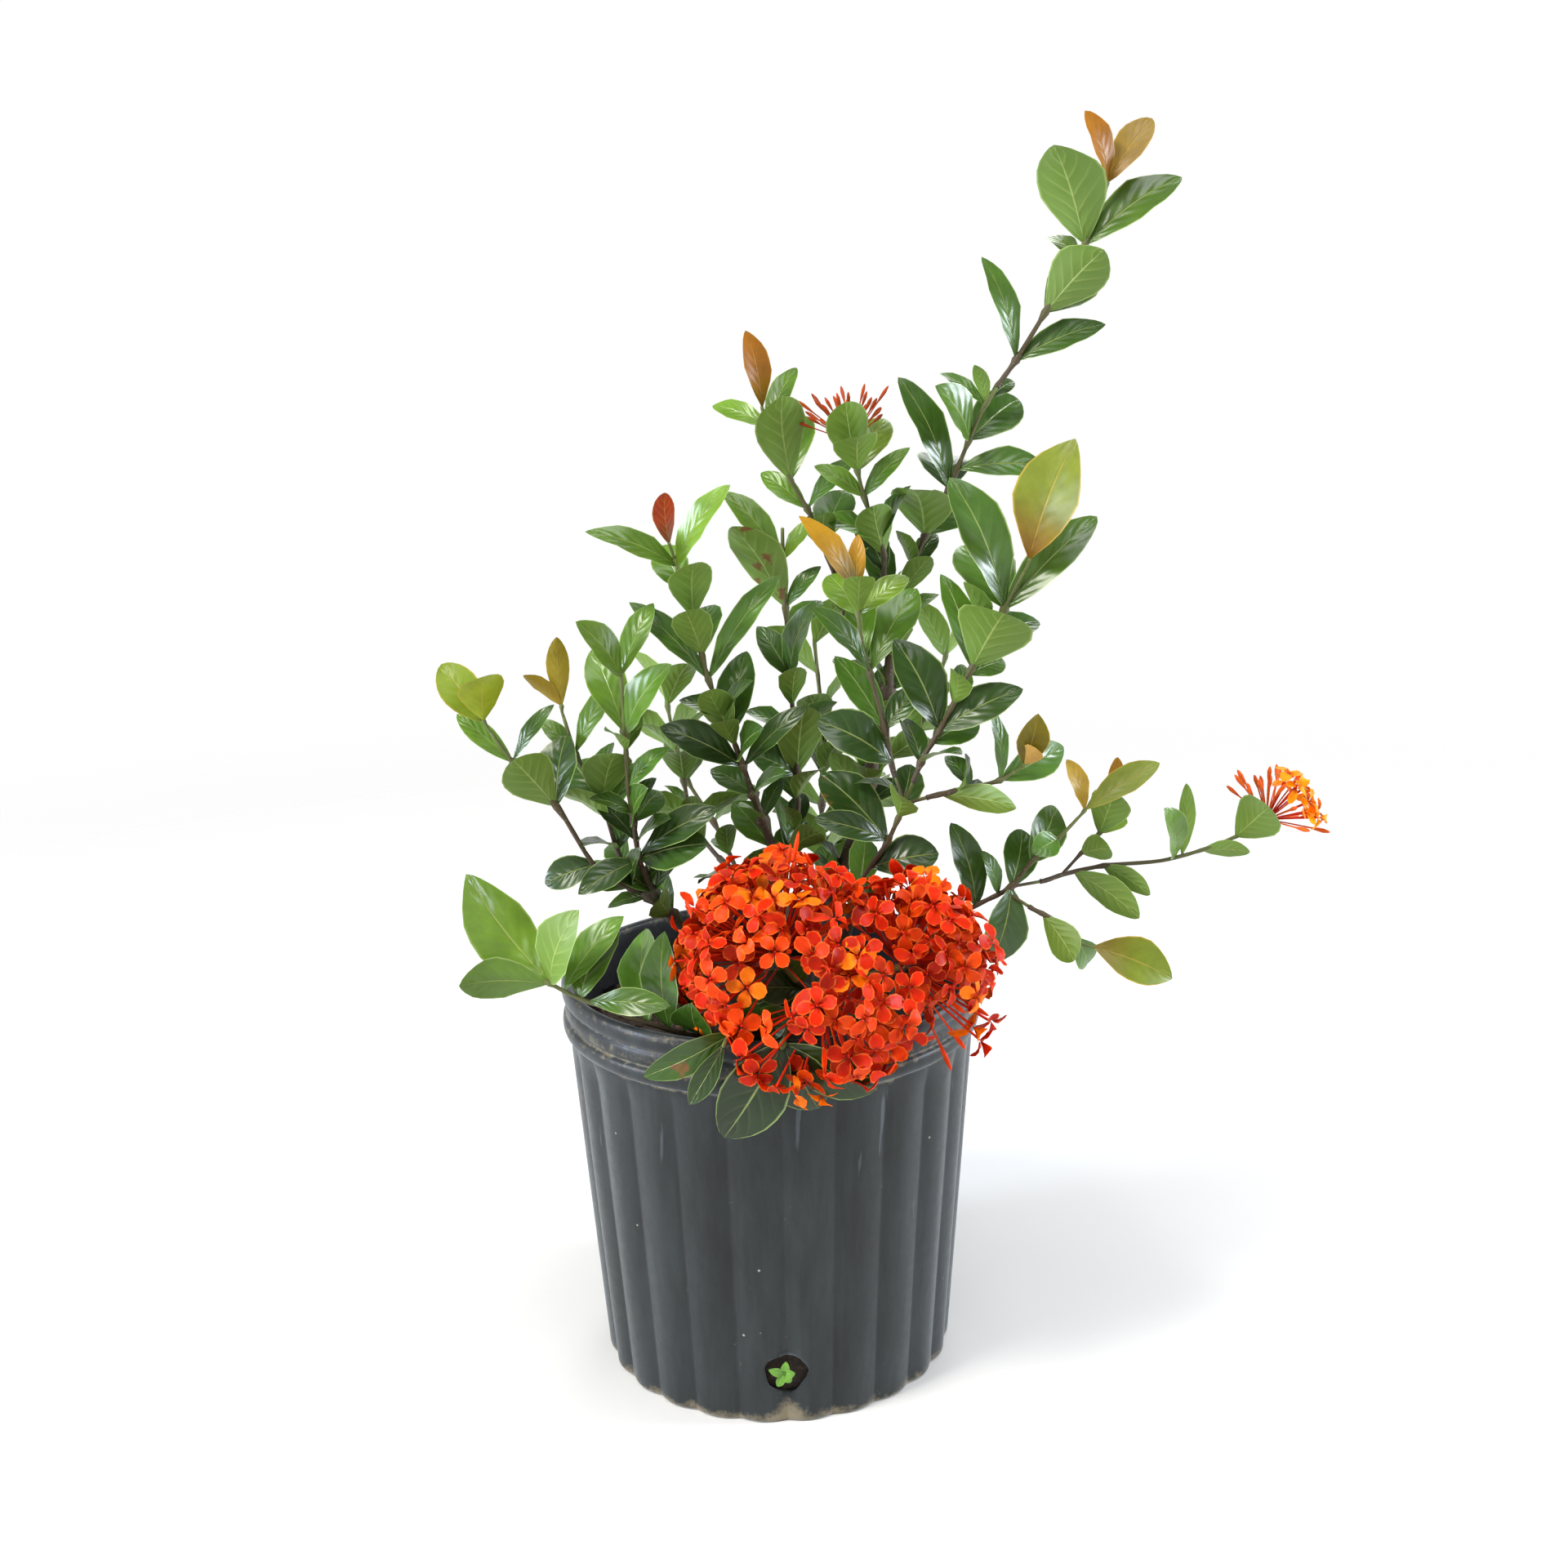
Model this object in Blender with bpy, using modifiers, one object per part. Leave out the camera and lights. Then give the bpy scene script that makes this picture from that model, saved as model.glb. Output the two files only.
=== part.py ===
"""Potted ixora: a nursery pot of soil with woody canes, leafy shoots, flower heads and a seedling.

Metres, +Z up. The origin is the centre of the pot's resting face. The plant tables are in millimetres:
a point is (right, back, up) from the origin, with the pot's front towards -Y.
"""
import math

import bmesh
import bpy
import numpy as np
from mathutils import Vector
from mathutils.bvhtree import BVHTree

MM = 0.001
GAP = 0.0003

# Pot: a number 3 nursery container, blow moulded, with fluted sides and a rolled rim
POT_HEIGHT = 0.265
BASE_RADIUS = 0.1165
WALL_TOP_RADIUS = 0.1320
LIP_RADIUS = 0.1372
WALL = 0.0018
FLOOR = 0.0030
FLUTES = 24
FLUTE_DEPTH = 0.0030
FLUTE_TOP = 0.2290
FLUTE_FULL = 0.2130
DRAIN_RADIUS = 0.0135
DRAIN_HEIGHT = 0.0360
DRAIN_COUNT = 4
DRAIN_TURN = math.radians(-88.0)
DRAIN_CUT = (0.10, 0.13)

# Potting soil
SOIL_TOP = 0.2310
SOIL_SIDES = 24
SOIL_BUMP = 0.0025

# Stems: radii in mm from the thick end to the thin one
SHOOT_RADII = (2.2, 1.4)
TIP_RADII = (1.1, 1.0)
STALK_RADIUS = 2.2
BUD_STALK_RADIUS = 1.6

# Leaves. A station is a place along the blade and the share of the full width there.
LEAF_THICKNESS = 0.0008
LEAF_CLEARANCE = 0.0013
BIG_LEAF = 0.070
SMALL_LEAF = 0.034
BIG_STATIONS = ((0.24, 0.74), (0.55, 1.0), (0.84, 0.66))
MIDDLE_STATIONS = ((0.32, 0.92), (0.72, 0.90))
SMALL_STATIONS = ((0.55, 1.0),)
JOINT_ROOM = 0.0045
TIP_JOINT_ROOM = 0.0010
LEAF_BREADTH = 1.15
LEAF_BOW = 0.07
EDGE_LIFT = 0.22
# How far a blade turns about its length to be seen broad from outside the bush, and where outside is
BROAD_TURN = 1.5
OUTSIDE_RISE = 0.2
LEAST_UPPER_VIEW = -0.1
SPARE_UPPER = Vector((0.0, -0.3, 1.0))
BUSH_MIDDLE = 0.045
# Leaves are tried smaller and turned (mm) until they clear their neighbours
GUARD_GROWTH = 1.04
SCALES_TRIED = (1.0, 0.86, 0.72)
SIDEWAYS_TRIED = (0, 7, -7, 14, -14, 22, -22)
DEPTHS_TRIED = (0, 6, -6, 12, -12, 18, -18, 25, -25, 32, -32)

# Florets and buds
FLORET_SPAN = 0.0370
HALF_OPEN_SPAN = 0.018
FLORET_LAYER = 4.5
HIDDEN_DEPTH = 3.0
PETAL_THICKNESS = 0.0007
TUBE_RADIUS = 0.0011
# Outline of a petal from its notch on: the turn from the notch, the share of half the span, the droop in mm
PETAL_OUTLINE = ((0.0, 0.36, 0.0), (0.36, 0.96, 1.4), (1.21, 0.96, 1.4))

COLOURS = {
    "pot_plastic": ((0.075, 0.090, 0.105), 0.55),
    "potting_mix": ((0.020, 0.014, 0.010), 0.95),
    "bark": ((0.120, 0.075, 0.042), 0.80),
    "leaf_green": ((0.045, 0.130, 0.035), 0.35),
    "young_leaf": ((0.330, 0.440, 0.050), 0.40),
    "bronze_leaf": ((0.430, 0.170, 0.020), 0.40),
    "petal_red": ((0.900, 0.085, 0.012), 0.50),
    "seedling_green": ((0.230, 0.560, 0.060), 0.50),
}

# Canes: bare woody stems. Each stands in its own hole in the soil, and its forks are fused to it.
CANES = {
    "left_cane": {
        "stems": [[(-35, -5, 208), (-35, -5, 242), (-60, -10, 300), (-80, -15, 322), (-92, -9, 338)],
                  [(-80, -15, 322), (-101, -25, 334)],
                  [(-71, -13, 312), (-80, -18, 338)]],
        "radius": (4.0, 2.6)},
    "middle_cane": {
        "stems": [[(-8, 25, 208), (-8, 25, 240), (0, 12, 300), (4, 5, 338), (-4, -4, 368), (-9, -9, 385)],
                  [(3, 7, 325), (16, 11, 343)],
                  [(0, 12, 300), (-33, 46, 325)]],
        "radius": (3.8, 2.4)},
    "tall_cane": {
        "stems": [[(25, 35, 208), (25, 35, 240), (60, 33, 350), (80, 31, 440), (86, 30, 492), (92, 32, 508)],
                  [(86, 30, 492), (79, 22, 508)],
                  [(77, 31, 425), (62, 27, 462)],
                  [(44, 34, 300), (37, 68, 324)],
                  [(60, 33, 350), (72, 68, 368)]],
        "radius": (4.6, 2.8)},
    "right_cane": {
        "stems": [[(35, -20, 208), (35, -20, 240), (48, -34, 295), (58, -39, 330)]],
        "radius": (4.0, 3.4)},
    "far_right_cane": {
        "stems": [[(70, -10, 208), (70, -10, 238), (98, -24, 284), (126, -30, 308)]],
        "radius": (3.6, 2.8)},
    "front_left_cane": {
        "stems": [[(-25, -62, 208), (-25, -62, 237), (-30, -80, 247)]],
        "radius": (3.0, 2.6)},
    "front_cane": {
        "stems": [[(2, -72, 208), (2, -72, 238), (-9, -97, 257)], [(2, -72, 238), (14, -97, 257)]],
        "radius": (2.8, 2.2)},
    "flower_cane": {
        "stems": [[(28, -46, 208), (28, -46, 240), (30, -50, 258), (16, -68, 278)],
                  [(30, -50, 258), (52, -66, 276)],
                  [(30, -50, 258), (29, -74, 272)]],
        "radius": (3.6, 2.2)},
    "back_cane": {
        "stems": [[(-5, 72, 208), (-5, 72, 240), (-22, 92, 300)],
                  [(-5, 72, 240), (22, 96, 290)]],
        "radius": (3.4, 2.4)},
}

# Leafy shoots: the cane or shoot and the end of it that each grows from, its stems after that point, and its
# leaves as (place along the first stem, tip from the leaf's root, width).
SHOOTS = {
    "tall_shoot_lower": {
        "from": ("tall_cane", 0),
        "stems": [[(105, 30, 540), (120, 26, 570), (132, 22, 600), (141, 20, 620), (149, 20, 632)]],
        "leaves": [(1, (-10, -40, 35), 39), (1, (25, 35, 20), 31), (2, (-30, -5, 70), 23), (2, (-5, 35, 20), 34),
                   (2.4, (55, -5, 2), 21), (3, (-20, -30, 32), 31), (3, (35, 25, 25), 29), (4.1, (-28, -5, 22), 11),
                   (4.5, (20, 5, 12), 10)]},
    "tall_shoot_upper": {
        "from": ("tall_shoot_lower", 0),
        "stems": [[(160, 16, 648), (177, 12, 676), (200, 8, 715), (210, 6, 742)]],
        "leaves": [(1, (-20, -5, 62), 19), (1, (56, 5, 22), 19), (2, (30, -30, 36), 34), (2, (32, 30, 26), 31),
                   (2.8, (-15, 20, 15), 16), (3, (-24, -30, 56), 41), (3, (58, 5, 40), 27)]},
    "bud_shoot": {
        "from": ("tall_cane", 1),
        "stems": [[(78, 15, 530), (65, 5, 568), (60, 1, 588)]],
        "leaves": [(1, (-10, -25, 38), 24), (2, (28, 0, 30), 13), (2, (-30, 0, 20), 13), (2.9, (-10, -30, 38), 27),
                   (2.9, (20, 22, 34), 24)]},
    "upper_left_shoot": {
        "from": ("tall_cane", 2),
        "stems": [[(54, 25, 492), (40, 20, 538), (30, 18, 560), (20, 15, 578), (5, 10, 616)]],
        "leaves": [(2, (15, 25, 32), 26), (3, (-30, -5, 24), 15), (3, (30, 0, 32), 14), (4, (-6, -35, 54), 32),
                   (4, (5, 32, 40), 29), (5, (-38, -5, 22), 14), (5, (20, 5, 40), 15)]},
    "right_shoot_base": {
        "from": ("right_cane", 0),
        "stems": [[(75, -45, 360), (85, -50, 385), (90, -53, 399)],
                  [(85, -50, 385), (98, -56, 390)],
                  [(85, -50, 385), (80, -43, 400)]],
        "leaves": [(0.4, (40, -12, 10), 27), (1, (-45, -15, 20), 18), (1, (-40, 20, 40), 31)]},
    "right_shoot": {
        "from": ("right_shoot_base", 0),
        "stems": [[(95, -54, 412), (106, -56, 432), (125, -59, 470), (144, -62, 506), (155, -64, 528)]],
        "leaves": [(1.6, (30, 20, 12), 24), (2, (-25, 12, 55), 32), (2, (50, -5, 25), 24), (2.9, (25, 20, 5), 16),
                   (3, (15, -35, 40), 45), (3, (-15, 25, 55), 19), (4, (-30, 5, 78), 33), (4, (-22, 30, 36), 38),
                   (4, (58, 5, 54), 23)]},
    "side_shoot": {
        "from": ("right_shoot_base", 1),
        "stems": [[(125, -57, 396), (143, -56, 400), (152, -55, 405)]],
        "leaves": [(0.3, (50, -12, -2), 18), (1, (-14, 12, 18), 16), (2, (-5, 0, 46), 12), (2, (54, 5, 16), 22)]},
    "centre_shoot": {
        "from": ("right_shoot_base", 2),
        "stems": [[(74, -40, 430), (65, -40, 465), (60, -40, 486), (58, -40, 506)]],
        "leaves": [(0.3, (-45, -8, 30), 31), (1, (-30, 15, 45), 21), (1, (25, 15, 25), 18), (2, (-35, -5, 46), 17),
                   (2, (34, 5, 54), 26), (4, (0, -25, 34), 19), (4, (-20, 20, 26), 23), (4, (30, 5, 22), 16)]},
    "middle_shoot": {
        "from": ("middle_cane", 0),
        "stems": [[(-14, -14, 402), (-21, -18, 424), (-34, -22, 460), (-42, -26, 500), (-52, -29, 536)]],
        "leaves": [(1, (-50, -10, 30), 25), (1, (40, -5, 40), 15), (1.2, (15, -32, 34), 24), (2, (-14, -22, 34), 21),
                   (2, (10, 20, 50), 24), (3, (-46, -5, 50), 17), (3, (44, 5, 64), 17), (4, (2, -30, 38), 27),
                   (4.4, (-16, 20, 28), 22), (5, (-36, -5, 48), 19), (5, (14, 5, 60), 19)]},
    "inner_shoot": {
        "from": ("middle_cane", 1),
        "stems": [[(20, 10, 390), (17, 6, 455), (15, 4, 500), (14, 1, 530), (14, 0, 550)]],
        "leaves": [(1, (5, -30, 50), 30), (1, (-28, -12, 16), 23), (2, (14, -22, 50), 22), (2, (-20, 12, 32), 19),
                   (3, (-32, -22, 58), 31), (3, (22, 0, 26), 12), (4, (-36, 8, 44), 19), (4, (20, -5, 26), 12)]},
    "left_middle_shoot": {
        "from": ("left_cane", 2),
        "stems": [[(-84, -24, 370), (-86, -30, 395), (-86, -34, 430), (-87, -37, 470)]],
        "leaves": [(0.3, (50, -16, 34), 22), (0.2, (35, -32, 12), 31), (0.2, (-40, -22, -14), 19),
                   (1, (10, -24, 28), 26), (1, (16, 20, 16), 22), (2, (26, -5, 26), 14), (3, (30, -16, 48), 26),
                   (3, (-20, 20, 50), 24), (4, (-22, -20, 38), 24), (4, (20, 12, 44), 17)]},
    "far_left_shoot": {
        "from": ("left_cane", 1),
        "stems": [[(-130, -38, 385), (-155, -42, 415), (-167, -45, 435)]],
        "leaves": [(0.2, (-32, -14, -10), 21), (1, (-22, -26, 38), 32), (1, (5, 26, 38), 29), (2, (-36, -5, 30), 14),
                   (2, (26, 0, 36), 11)]},
    "left_shoot": {
        "from": ("left_cane", 0),
        "stems": [[(-104, -14, 380), (-119, -18, 414), (-125, -20, 438)]],
        "leaves": [(1, (10, -32, 34), 31), (1, (-20, 26, 22), 28), (2, (26, 0, 45), 16), (2, (-22, 0, 22), 12)]},
    "rim_shoot": {
        "from": ("front_left_cane", 0),
        "stems": [[(-44, -91, 252), (-74, -96, 263), (-96, -96, 272), (-120, -92, 281), (-137, -89, 290)]],
        "leaves": [(0.7, (-10, -22, 40), 29), (1.3, (8, 5, 42), 15), (1.6, (5, 16, 60), 26), (2, (-5, 26, 56), 32),
                   (3.6, (50, -20, 4), 17), (3.8, (20, 25, 42), 31), (4.3, (36, 10, 44), 22), (5, (-50, 12, 66), 41),
                   (5, (20, -26, 54), 32), (5, (-54, -12, 8), 27)]},
    "front_shoot_left": {
        "from": ("front_cane", 0),
        "stems": [[(-22, -124, 271), (-28, -142, 266)]],
        "leaves": [(1.4, (-50, -14, -20), 19), (2, (-22, -12, -34), 14)]},
    "front_shoot_right": {
        "from": ("front_cane", 1),
        "stems": [[(10, -124, 271), (6, -143, 264)]],
        "leaves": [(2, (-36, -8, -56), 38)]},
    "lower_right_shoot": {
        "from": ("far_right_cane", 0),
        "stems": [[(154, -31, 324), (166, -32, 340), (183, -32, 355), (195, -32, 368)],
                  [(154, -31, 324), (173, -25, 325)],
                  [(150, -31, 321), (164, -38, 313)]],
        "leaves": [(0.2, (-14, 5, 54), 23), (1, (-12, -22, -44), 31), (0.7, (-10, -5, 30), 12), (1, (10, 22, 32), 24),
                   (2, (20, 26, 30), 25), (3, (-18, -16, -4), 17)]},
    "far_right_shoot": {
        "from": ("lower_right_shoot", 1),
        "stems": [[(188, -18, 327), (216, -10, 330), (255, -5, 331), (282, 0, 336), (310, 5, 345)],
                  [(188, -18, 327), (201, -14, 340), (216, -10, 355)]],
        "leaves": [(1.3, (40, -16, -26), 21), (2, (30, -10, -16), 14), (3.3, (-10, -20, 38), 25), (3.5, (5, 12, 45), 11),
                   (4, (30, -5, 0), 12), (4.8, (16, -24, 34), 31)],
        "branch_leaves": [(1, (16, -18, 8), 19), (2, (5, -22, 34), 26), (2, (26, 16, 20), 23)]},
    "drooping_shoot": {
        "from": ("lower_right_shoot", 2),
        "stems": [[(181, -41, 304), (196, -45, 291)]],
        "leaves": [(0.5, (20, -16, -28), 22), (2, (15, -10, -30), 18)]},
    "back_left_shoot": {
        "from": ("middle_cane", 2),
        "stems": [[(-50, 60, 345), (-56, 64, 375), (-62, 68, 405), (-66, 70, 430)]],
        "leaves": [(1, (-34, -10, 24), 21), (1, (32, 6, 20), 19), (2, (0, -30, 28), 24), (2, (-8, 34, 24), 24),
                   (4, (-22, 20, 34), 20), (4, (16, -22, 34), 22)]},
    "back_middle_shoot": {
        "from": ("tall_cane", 3),
        "stems": [[(38, 84, 350), (40, 90, 400), (37, 95, 440), (35, 100, 465)]],
        "leaves": [(1, (36, 14, 22), 22), (1, (-36, 10, 18), 22), (2, (-10, -28, 34), 24), (2, (12, 36, 26), 24),
                   (3, (-34, 4, 34), 22), (4, (20, -24, 36), 22)]},
    "back_right_shoot": {
        "from": ("tall_cane", 4),
        "stems": [[(84, 78, 384), (104, 84, 400), (118, 90, 430), (126, 94, 455)]],
        "leaves": [(1, (26, -24, 20), 21), (1, (-10, 38, 20), 22), (2, (40, 10, 10), 21), (2, (-32, 12, 32), 22),
                   (4, (-20, 0, 40), 20), (4, (32, 8, 34), 18)]},
    "low_back_left_shoot": {
        "from": ("back_cane", 0),
        "stems": [[(-38, 106, 334), (-56, 116, 362), (-66, 122, 388)]],
        "leaves": [(1, (-40, 2, 10), 24), (1, (30, 28, 18), 24), (2, (-14, 38, 22), 26), (2, (6, -30, 30), 24),
                   (3, (-34, -4, 30), 22), (3, (20, 22, 36), 22)]},
    "low_back_right_shoot": {
        "from": ("back_cane", 1),
        "stems": [[(42, 112, 316), (62, 124, 338), (74, 130, 362)]],
        "leaves": [(1, (38, -14, 14), 24), (1, (-26, 32, 14), 24), (2, (24, 34, 16), 26), (2, (-8, -30, 32), 24),
                   (3, (34, 2, 30), 22), (3, (-20, 24, 36), 22)]},
}

# Soft new growth at the shoot tips, a node for each tip because its colour differs from its shoot
TIPS = {
    "tall_tip": {"from": ("tall_shoot_upper", 0), "stems": [[(212, 5, 751)]], "colour": "bronze_leaf",
                 "leaves": [(1, (-14, -10, 40), 18), (1, (28, 10, 38), 19)]},
    "upper_left_tip": {"from": ("upper_left_shoot", 0), "stems": [[(3, 9, 624)]], "colour": "bronze_leaf",
                       "leaves": [(1, (-8, -10, 46), 17)]},
    "centre_tip": {"from": ("centre_shoot", 0), "stems": [[(57, -41, 516)]], "colour": "bronze_leaf",
                   "leaves": [(1, (-32, -12, 48), 17), (1, (2, 8, 34), 11)]},
    "right_tip": {"from": ("right_shoot", 0), "stems": [[(158, -65, 536)]], "colour": "young_leaf",
                  "leaves": [(1, (22, -15, 70), 40)]},
    "side_tip": {"from": ("side_shoot", 0), "stems": [[(158, -56, 410)]], "colour": "bronze_leaf",
                 "leaves": [(1, (8, -5, 32), 20), (1, (6, -16, 14), 13)]},
    "middle_tip": {"from": ("middle_shoot", 0), "stems": [[(-55, -30, 546)]], "colour": "bronze_leaf",
                   "leaves": [(1, (-2, -8, 32), 14)]},
    "far_left_tip": {"from": ("far_left_shoot", 0), "stems": [[(-171, -46, 443)]], "colour": "young_leaf",
                     "leaves": [(1, (-26, 12, 34), 24), (1, (6, -26, 34), 28)]},
    "left_tip": {"from": ("left_shoot", 0), "stems": [[(-126, -20, 446)]], "colour": "bronze_leaf",
                 "leaves": [(1, (0, -10, 46), 14), (1, (-22, -5, 24), 11)]},
    "lower_right_tip": {"from": ("lower_right_shoot", 0), "stems": [[(200, -32, 374)]], "colour": "bronze_leaf",
                        "leaves": [(1, (-10, 5, 32), 14), (1, (46, -5, 30), 18)]},
    "short_branch_tip": {"from": ("far_right_shoot", 1), "stems": [[(220, -9, 364)]], "colour": "bronze_leaf",
                         "leaves": [(1, (4, -4, 40), 11)]},
    "drooping_tip": {"from": ("drooping_shoot", 0), "stems": [[(205, -47, 288)]], "colour": "young_leaf",
                     "leaves": [(1, (50, -6, -20), 29)]},
}

# The flower cluster: three domes that run into each other. For each the cane's end that carries it, its middle,
# the way it faces, and its size.
DOMES = {
    "left_dome": {"from": ("flower_cane", 0), "centre": (5, -95, 304), "facing": (-0.20, -0.35, 0.92),
                  "radius": 62, "cap": 100, "florets": 28, "core": 35},
    "right_dome": {"from": ("flower_cane", 1), "centre": (80, -95, 296), "facing": (0.35, -0.35, 0.87),
                   "radius": 55, "cap": 100, "florets": 22, "core": 28},
    "low_dome": {"from": ("flower_cane", 2), "centre": (32, -118, 286), "facing": (0.05, -0.95, -0.30),
                 "radius": 57, "cap": 72, "florets": 16, "core": 22},
}
BUD_HEAD = {"from": ("bud_shoot", 0), "centre": (57, 2, 602), "facing": (-0.15, 0.05, 0.99), "length": 34, "cap": 62,
            "buds": 13, "core": 5}
SIDE_HEAD = {"from": ("far_right_shoot", 0), "centre": (325, 6, 354), "facing": (0.45, -0.10, 0.89), "length": 36,
             "cap": 66, "buds": 12, "open": 4, "core": 6}

# Seedling that sprouts through the front drainage hole
SEEDLING_ROOT = (4, -108, 34)
SEEDLING_TOP = (3, -119, 37)
SEEDLING_LEAVES = [((-9, -3, 4), 6), ((1, -2, 9), 6), ((8, -4, 2), 6), ((5, -3, -7), 6), ((-5, -3, -8), 6)]


def clear_scene():
    for item in list(bpy.data.objects):
        bpy.data.objects.remove(item, do_unlink=True)


def new_collection(name):
    collection = bpy.data.collections.new(name)
    bpy.context.scene.collection.children.link(collection)
    return collection


def make_material(name):
    colour, roughness = COLOURS[name]
    material = bpy.data.materials.new(name)
    material.use_nodes = True
    shader = material.node_tree.nodes["Principled BSDF"]
    shader.inputs["Base Color"].default_value = (*colour, 1.0)
    shader.inputs["Roughness"].default_value = roughness
    shader.inputs["Metallic"].default_value = 0.0
    return material


def point(values):
    return Vector(values) * MM


def object_from_faces(name, vertices, faces, collection):
    mesh = bpy.data.meshes.new(name)
    mesh.from_pydata([tuple(v) for v in vertices], [], faces)
    mesh.update()
    item = bpy.data.objects.new(name, mesh)
    collection.objects.link(item)
    return item


def as_mesh_object(item, collection):
    """The evaluated item as a plain mesh object in the same place, with its doubles merged."""
    bpy.context.view_layer.update()
    graph = bpy.context.evaluated_depsgraph_get()
    mesh = bpy.data.meshes.new_from_object(item.evaluated_get(graph))
    plain = bpy.data.objects.new(item.name, mesh)
    plain.matrix_world = item.matrix_world
    bpy.data.objects.remove(item, do_unlink=True)
    collection.objects.link(plain)
    cage = bmesh.new()
    cage.from_mesh(mesh)
    bmesh.ops.remove_doubles(cage, verts=cage.verts, dist=1e-6)
    cage.to_mesh(mesh)
    cage.free()
    return plain


def tube(name, path, radii, resolution, collection):
    """A closed round stem along path, with a radius at each point."""
    curve = bpy.data.curves.new(name, "CURVE")
    curve.dimensions = "3D"
    curve.bevel_depth = 1.0
    curve.bevel_resolution = resolution
    curve.use_fill_caps = True
    spline = curve.splines.new("POLY")
    spline.points.add(len(path) - 1)
    for knot, place, radius in zip(spline.points, path, radii):
        knot.co = (*place, 1.0)
        knot.radius = radius
    item = bpy.data.objects.new(name, curve)
    collection.objects.link(item)
    return as_mesh_object(item, collection)


def unite(base, operands):
    """Fuses the operands into base with one Boolean union, and removes them."""
    if operands.objects:
        modifier = base.modifiers.new("union", "BOOLEAN")
        modifier.operation = "UNION"
        modifier.operand_type = "COLLECTION"
        modifier.collection = operands
        modifier.solver = "EXACT"
        bpy.context.view_layer.update()
        graph = bpy.context.evaluated_depsgraph_get()
        mesh = bpy.data.meshes.new_from_object(base.evaluated_get(graph))
        base.modifiers.clear()
        base.data = mesh
    for item in list(operands.objects):
        bpy.data.objects.remove(item, do_unlink=True)
    bpy.data.collections.remove(operands)
    keep_largest_body(base.data)


def keep_largest_body(mesh):
    """Drops the loose scraps that fusing leaves."""
    cage = bmesh.new()
    cage.from_mesh(mesh)
    left = set(cage.verts)
    bodies = []
    while left:
        seed = left.pop()
        body = [seed]
        stack = [seed]
        while stack:
            for edge in stack.pop().link_edges:
                for vertex in edge.verts:
                    if vertex in left:
                        left.remove(vertex)
                        body.append(vertex)
                        stack.append(vertex)
        bodies.append(body)
    bodies.sort(key=len, reverse=True)
    for body in bodies[1:]:
        bmesh.ops.delete(cage, geom=body, context="VERTS")
    cage.to_mesh(mesh)
    cage.free()


def finish(item, name, material, parts):
    """Names the finished sub-part, gives it its material and moves it to the parts collection."""
    item.name = name
    item.data.name = name
    item.data.materials.clear()
    item.data.materials.append(material)
    for collection in list(item.users_collection):
        collection.objects.unlink(item)
    parts.objects.link(item)
    return item


def turned(name, profile, steps, collection):
    """A profile of (radius, height) points turned about Z."""
    vertices = [(radius, 0.0, height) for radius, height in profile]
    mesh = bpy.data.meshes.new(name)
    mesh.from_pydata(vertices, [(i, i + 1) for i in range(len(vertices) - 1)], [])
    item = bpy.data.objects.new(name, mesh)
    collection.objects.link(item)
    screw = item.modifiers.new("turn", "SCREW")
    screw.axis = "Z"
    screw.steps = steps
    screw.render_steps = steps
    screw.use_merge_vertices = True
    screw.merge_threshold = 0.00001
    return as_mesh_object(item, collection)


def cut(item, cutters, collection):
    """Cuts the cutters' shapes out of item, one after another."""
    for cutter in cutters:
        modifier = item.modifiers.new(cutter.name, "BOOLEAN")
        modifier.operation = "DIFFERENCE"
        modifier.object = cutter
        modifier.solver = "EXACT"
    result = as_mesh_object(item, collection)
    for cutter in cutters:
        bpy.data.objects.remove(cutter, do_unlink=True)
    return result


def round_cutter(name, start, end, radius, sides, collection):
    """A cylinder between two points whose flats lie at the given radius."""
    axis = end - start
    bpy.ops.mesh.primitive_cylinder_add(vertices=sides, radius=radius / math.cos(math.pi / sides), depth=axis.length)
    item = bpy.context.object
    item.name = name
    item.matrix_world = axis.to_track_quat("Z", "Y").to_matrix().to_4x4()
    item.location = (start + end) / 2
    item.hide_render = True
    item.display_type = "WIRE"
    for other in list(item.users_collection):
        other.objects.unlink(item)
    collection.objects.link(item)
    return item


def inner_radius(height):
    """Radius of the pot's inner wall on a ridge of the flutes."""
    share = (height - FLOOR) / (FLUTE_FULL - FLOOR)
    return BASE_RADIUS + (WALL_TOP_RADIUS - 0.0006 - BASE_RADIUS) * share - WALL


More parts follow.
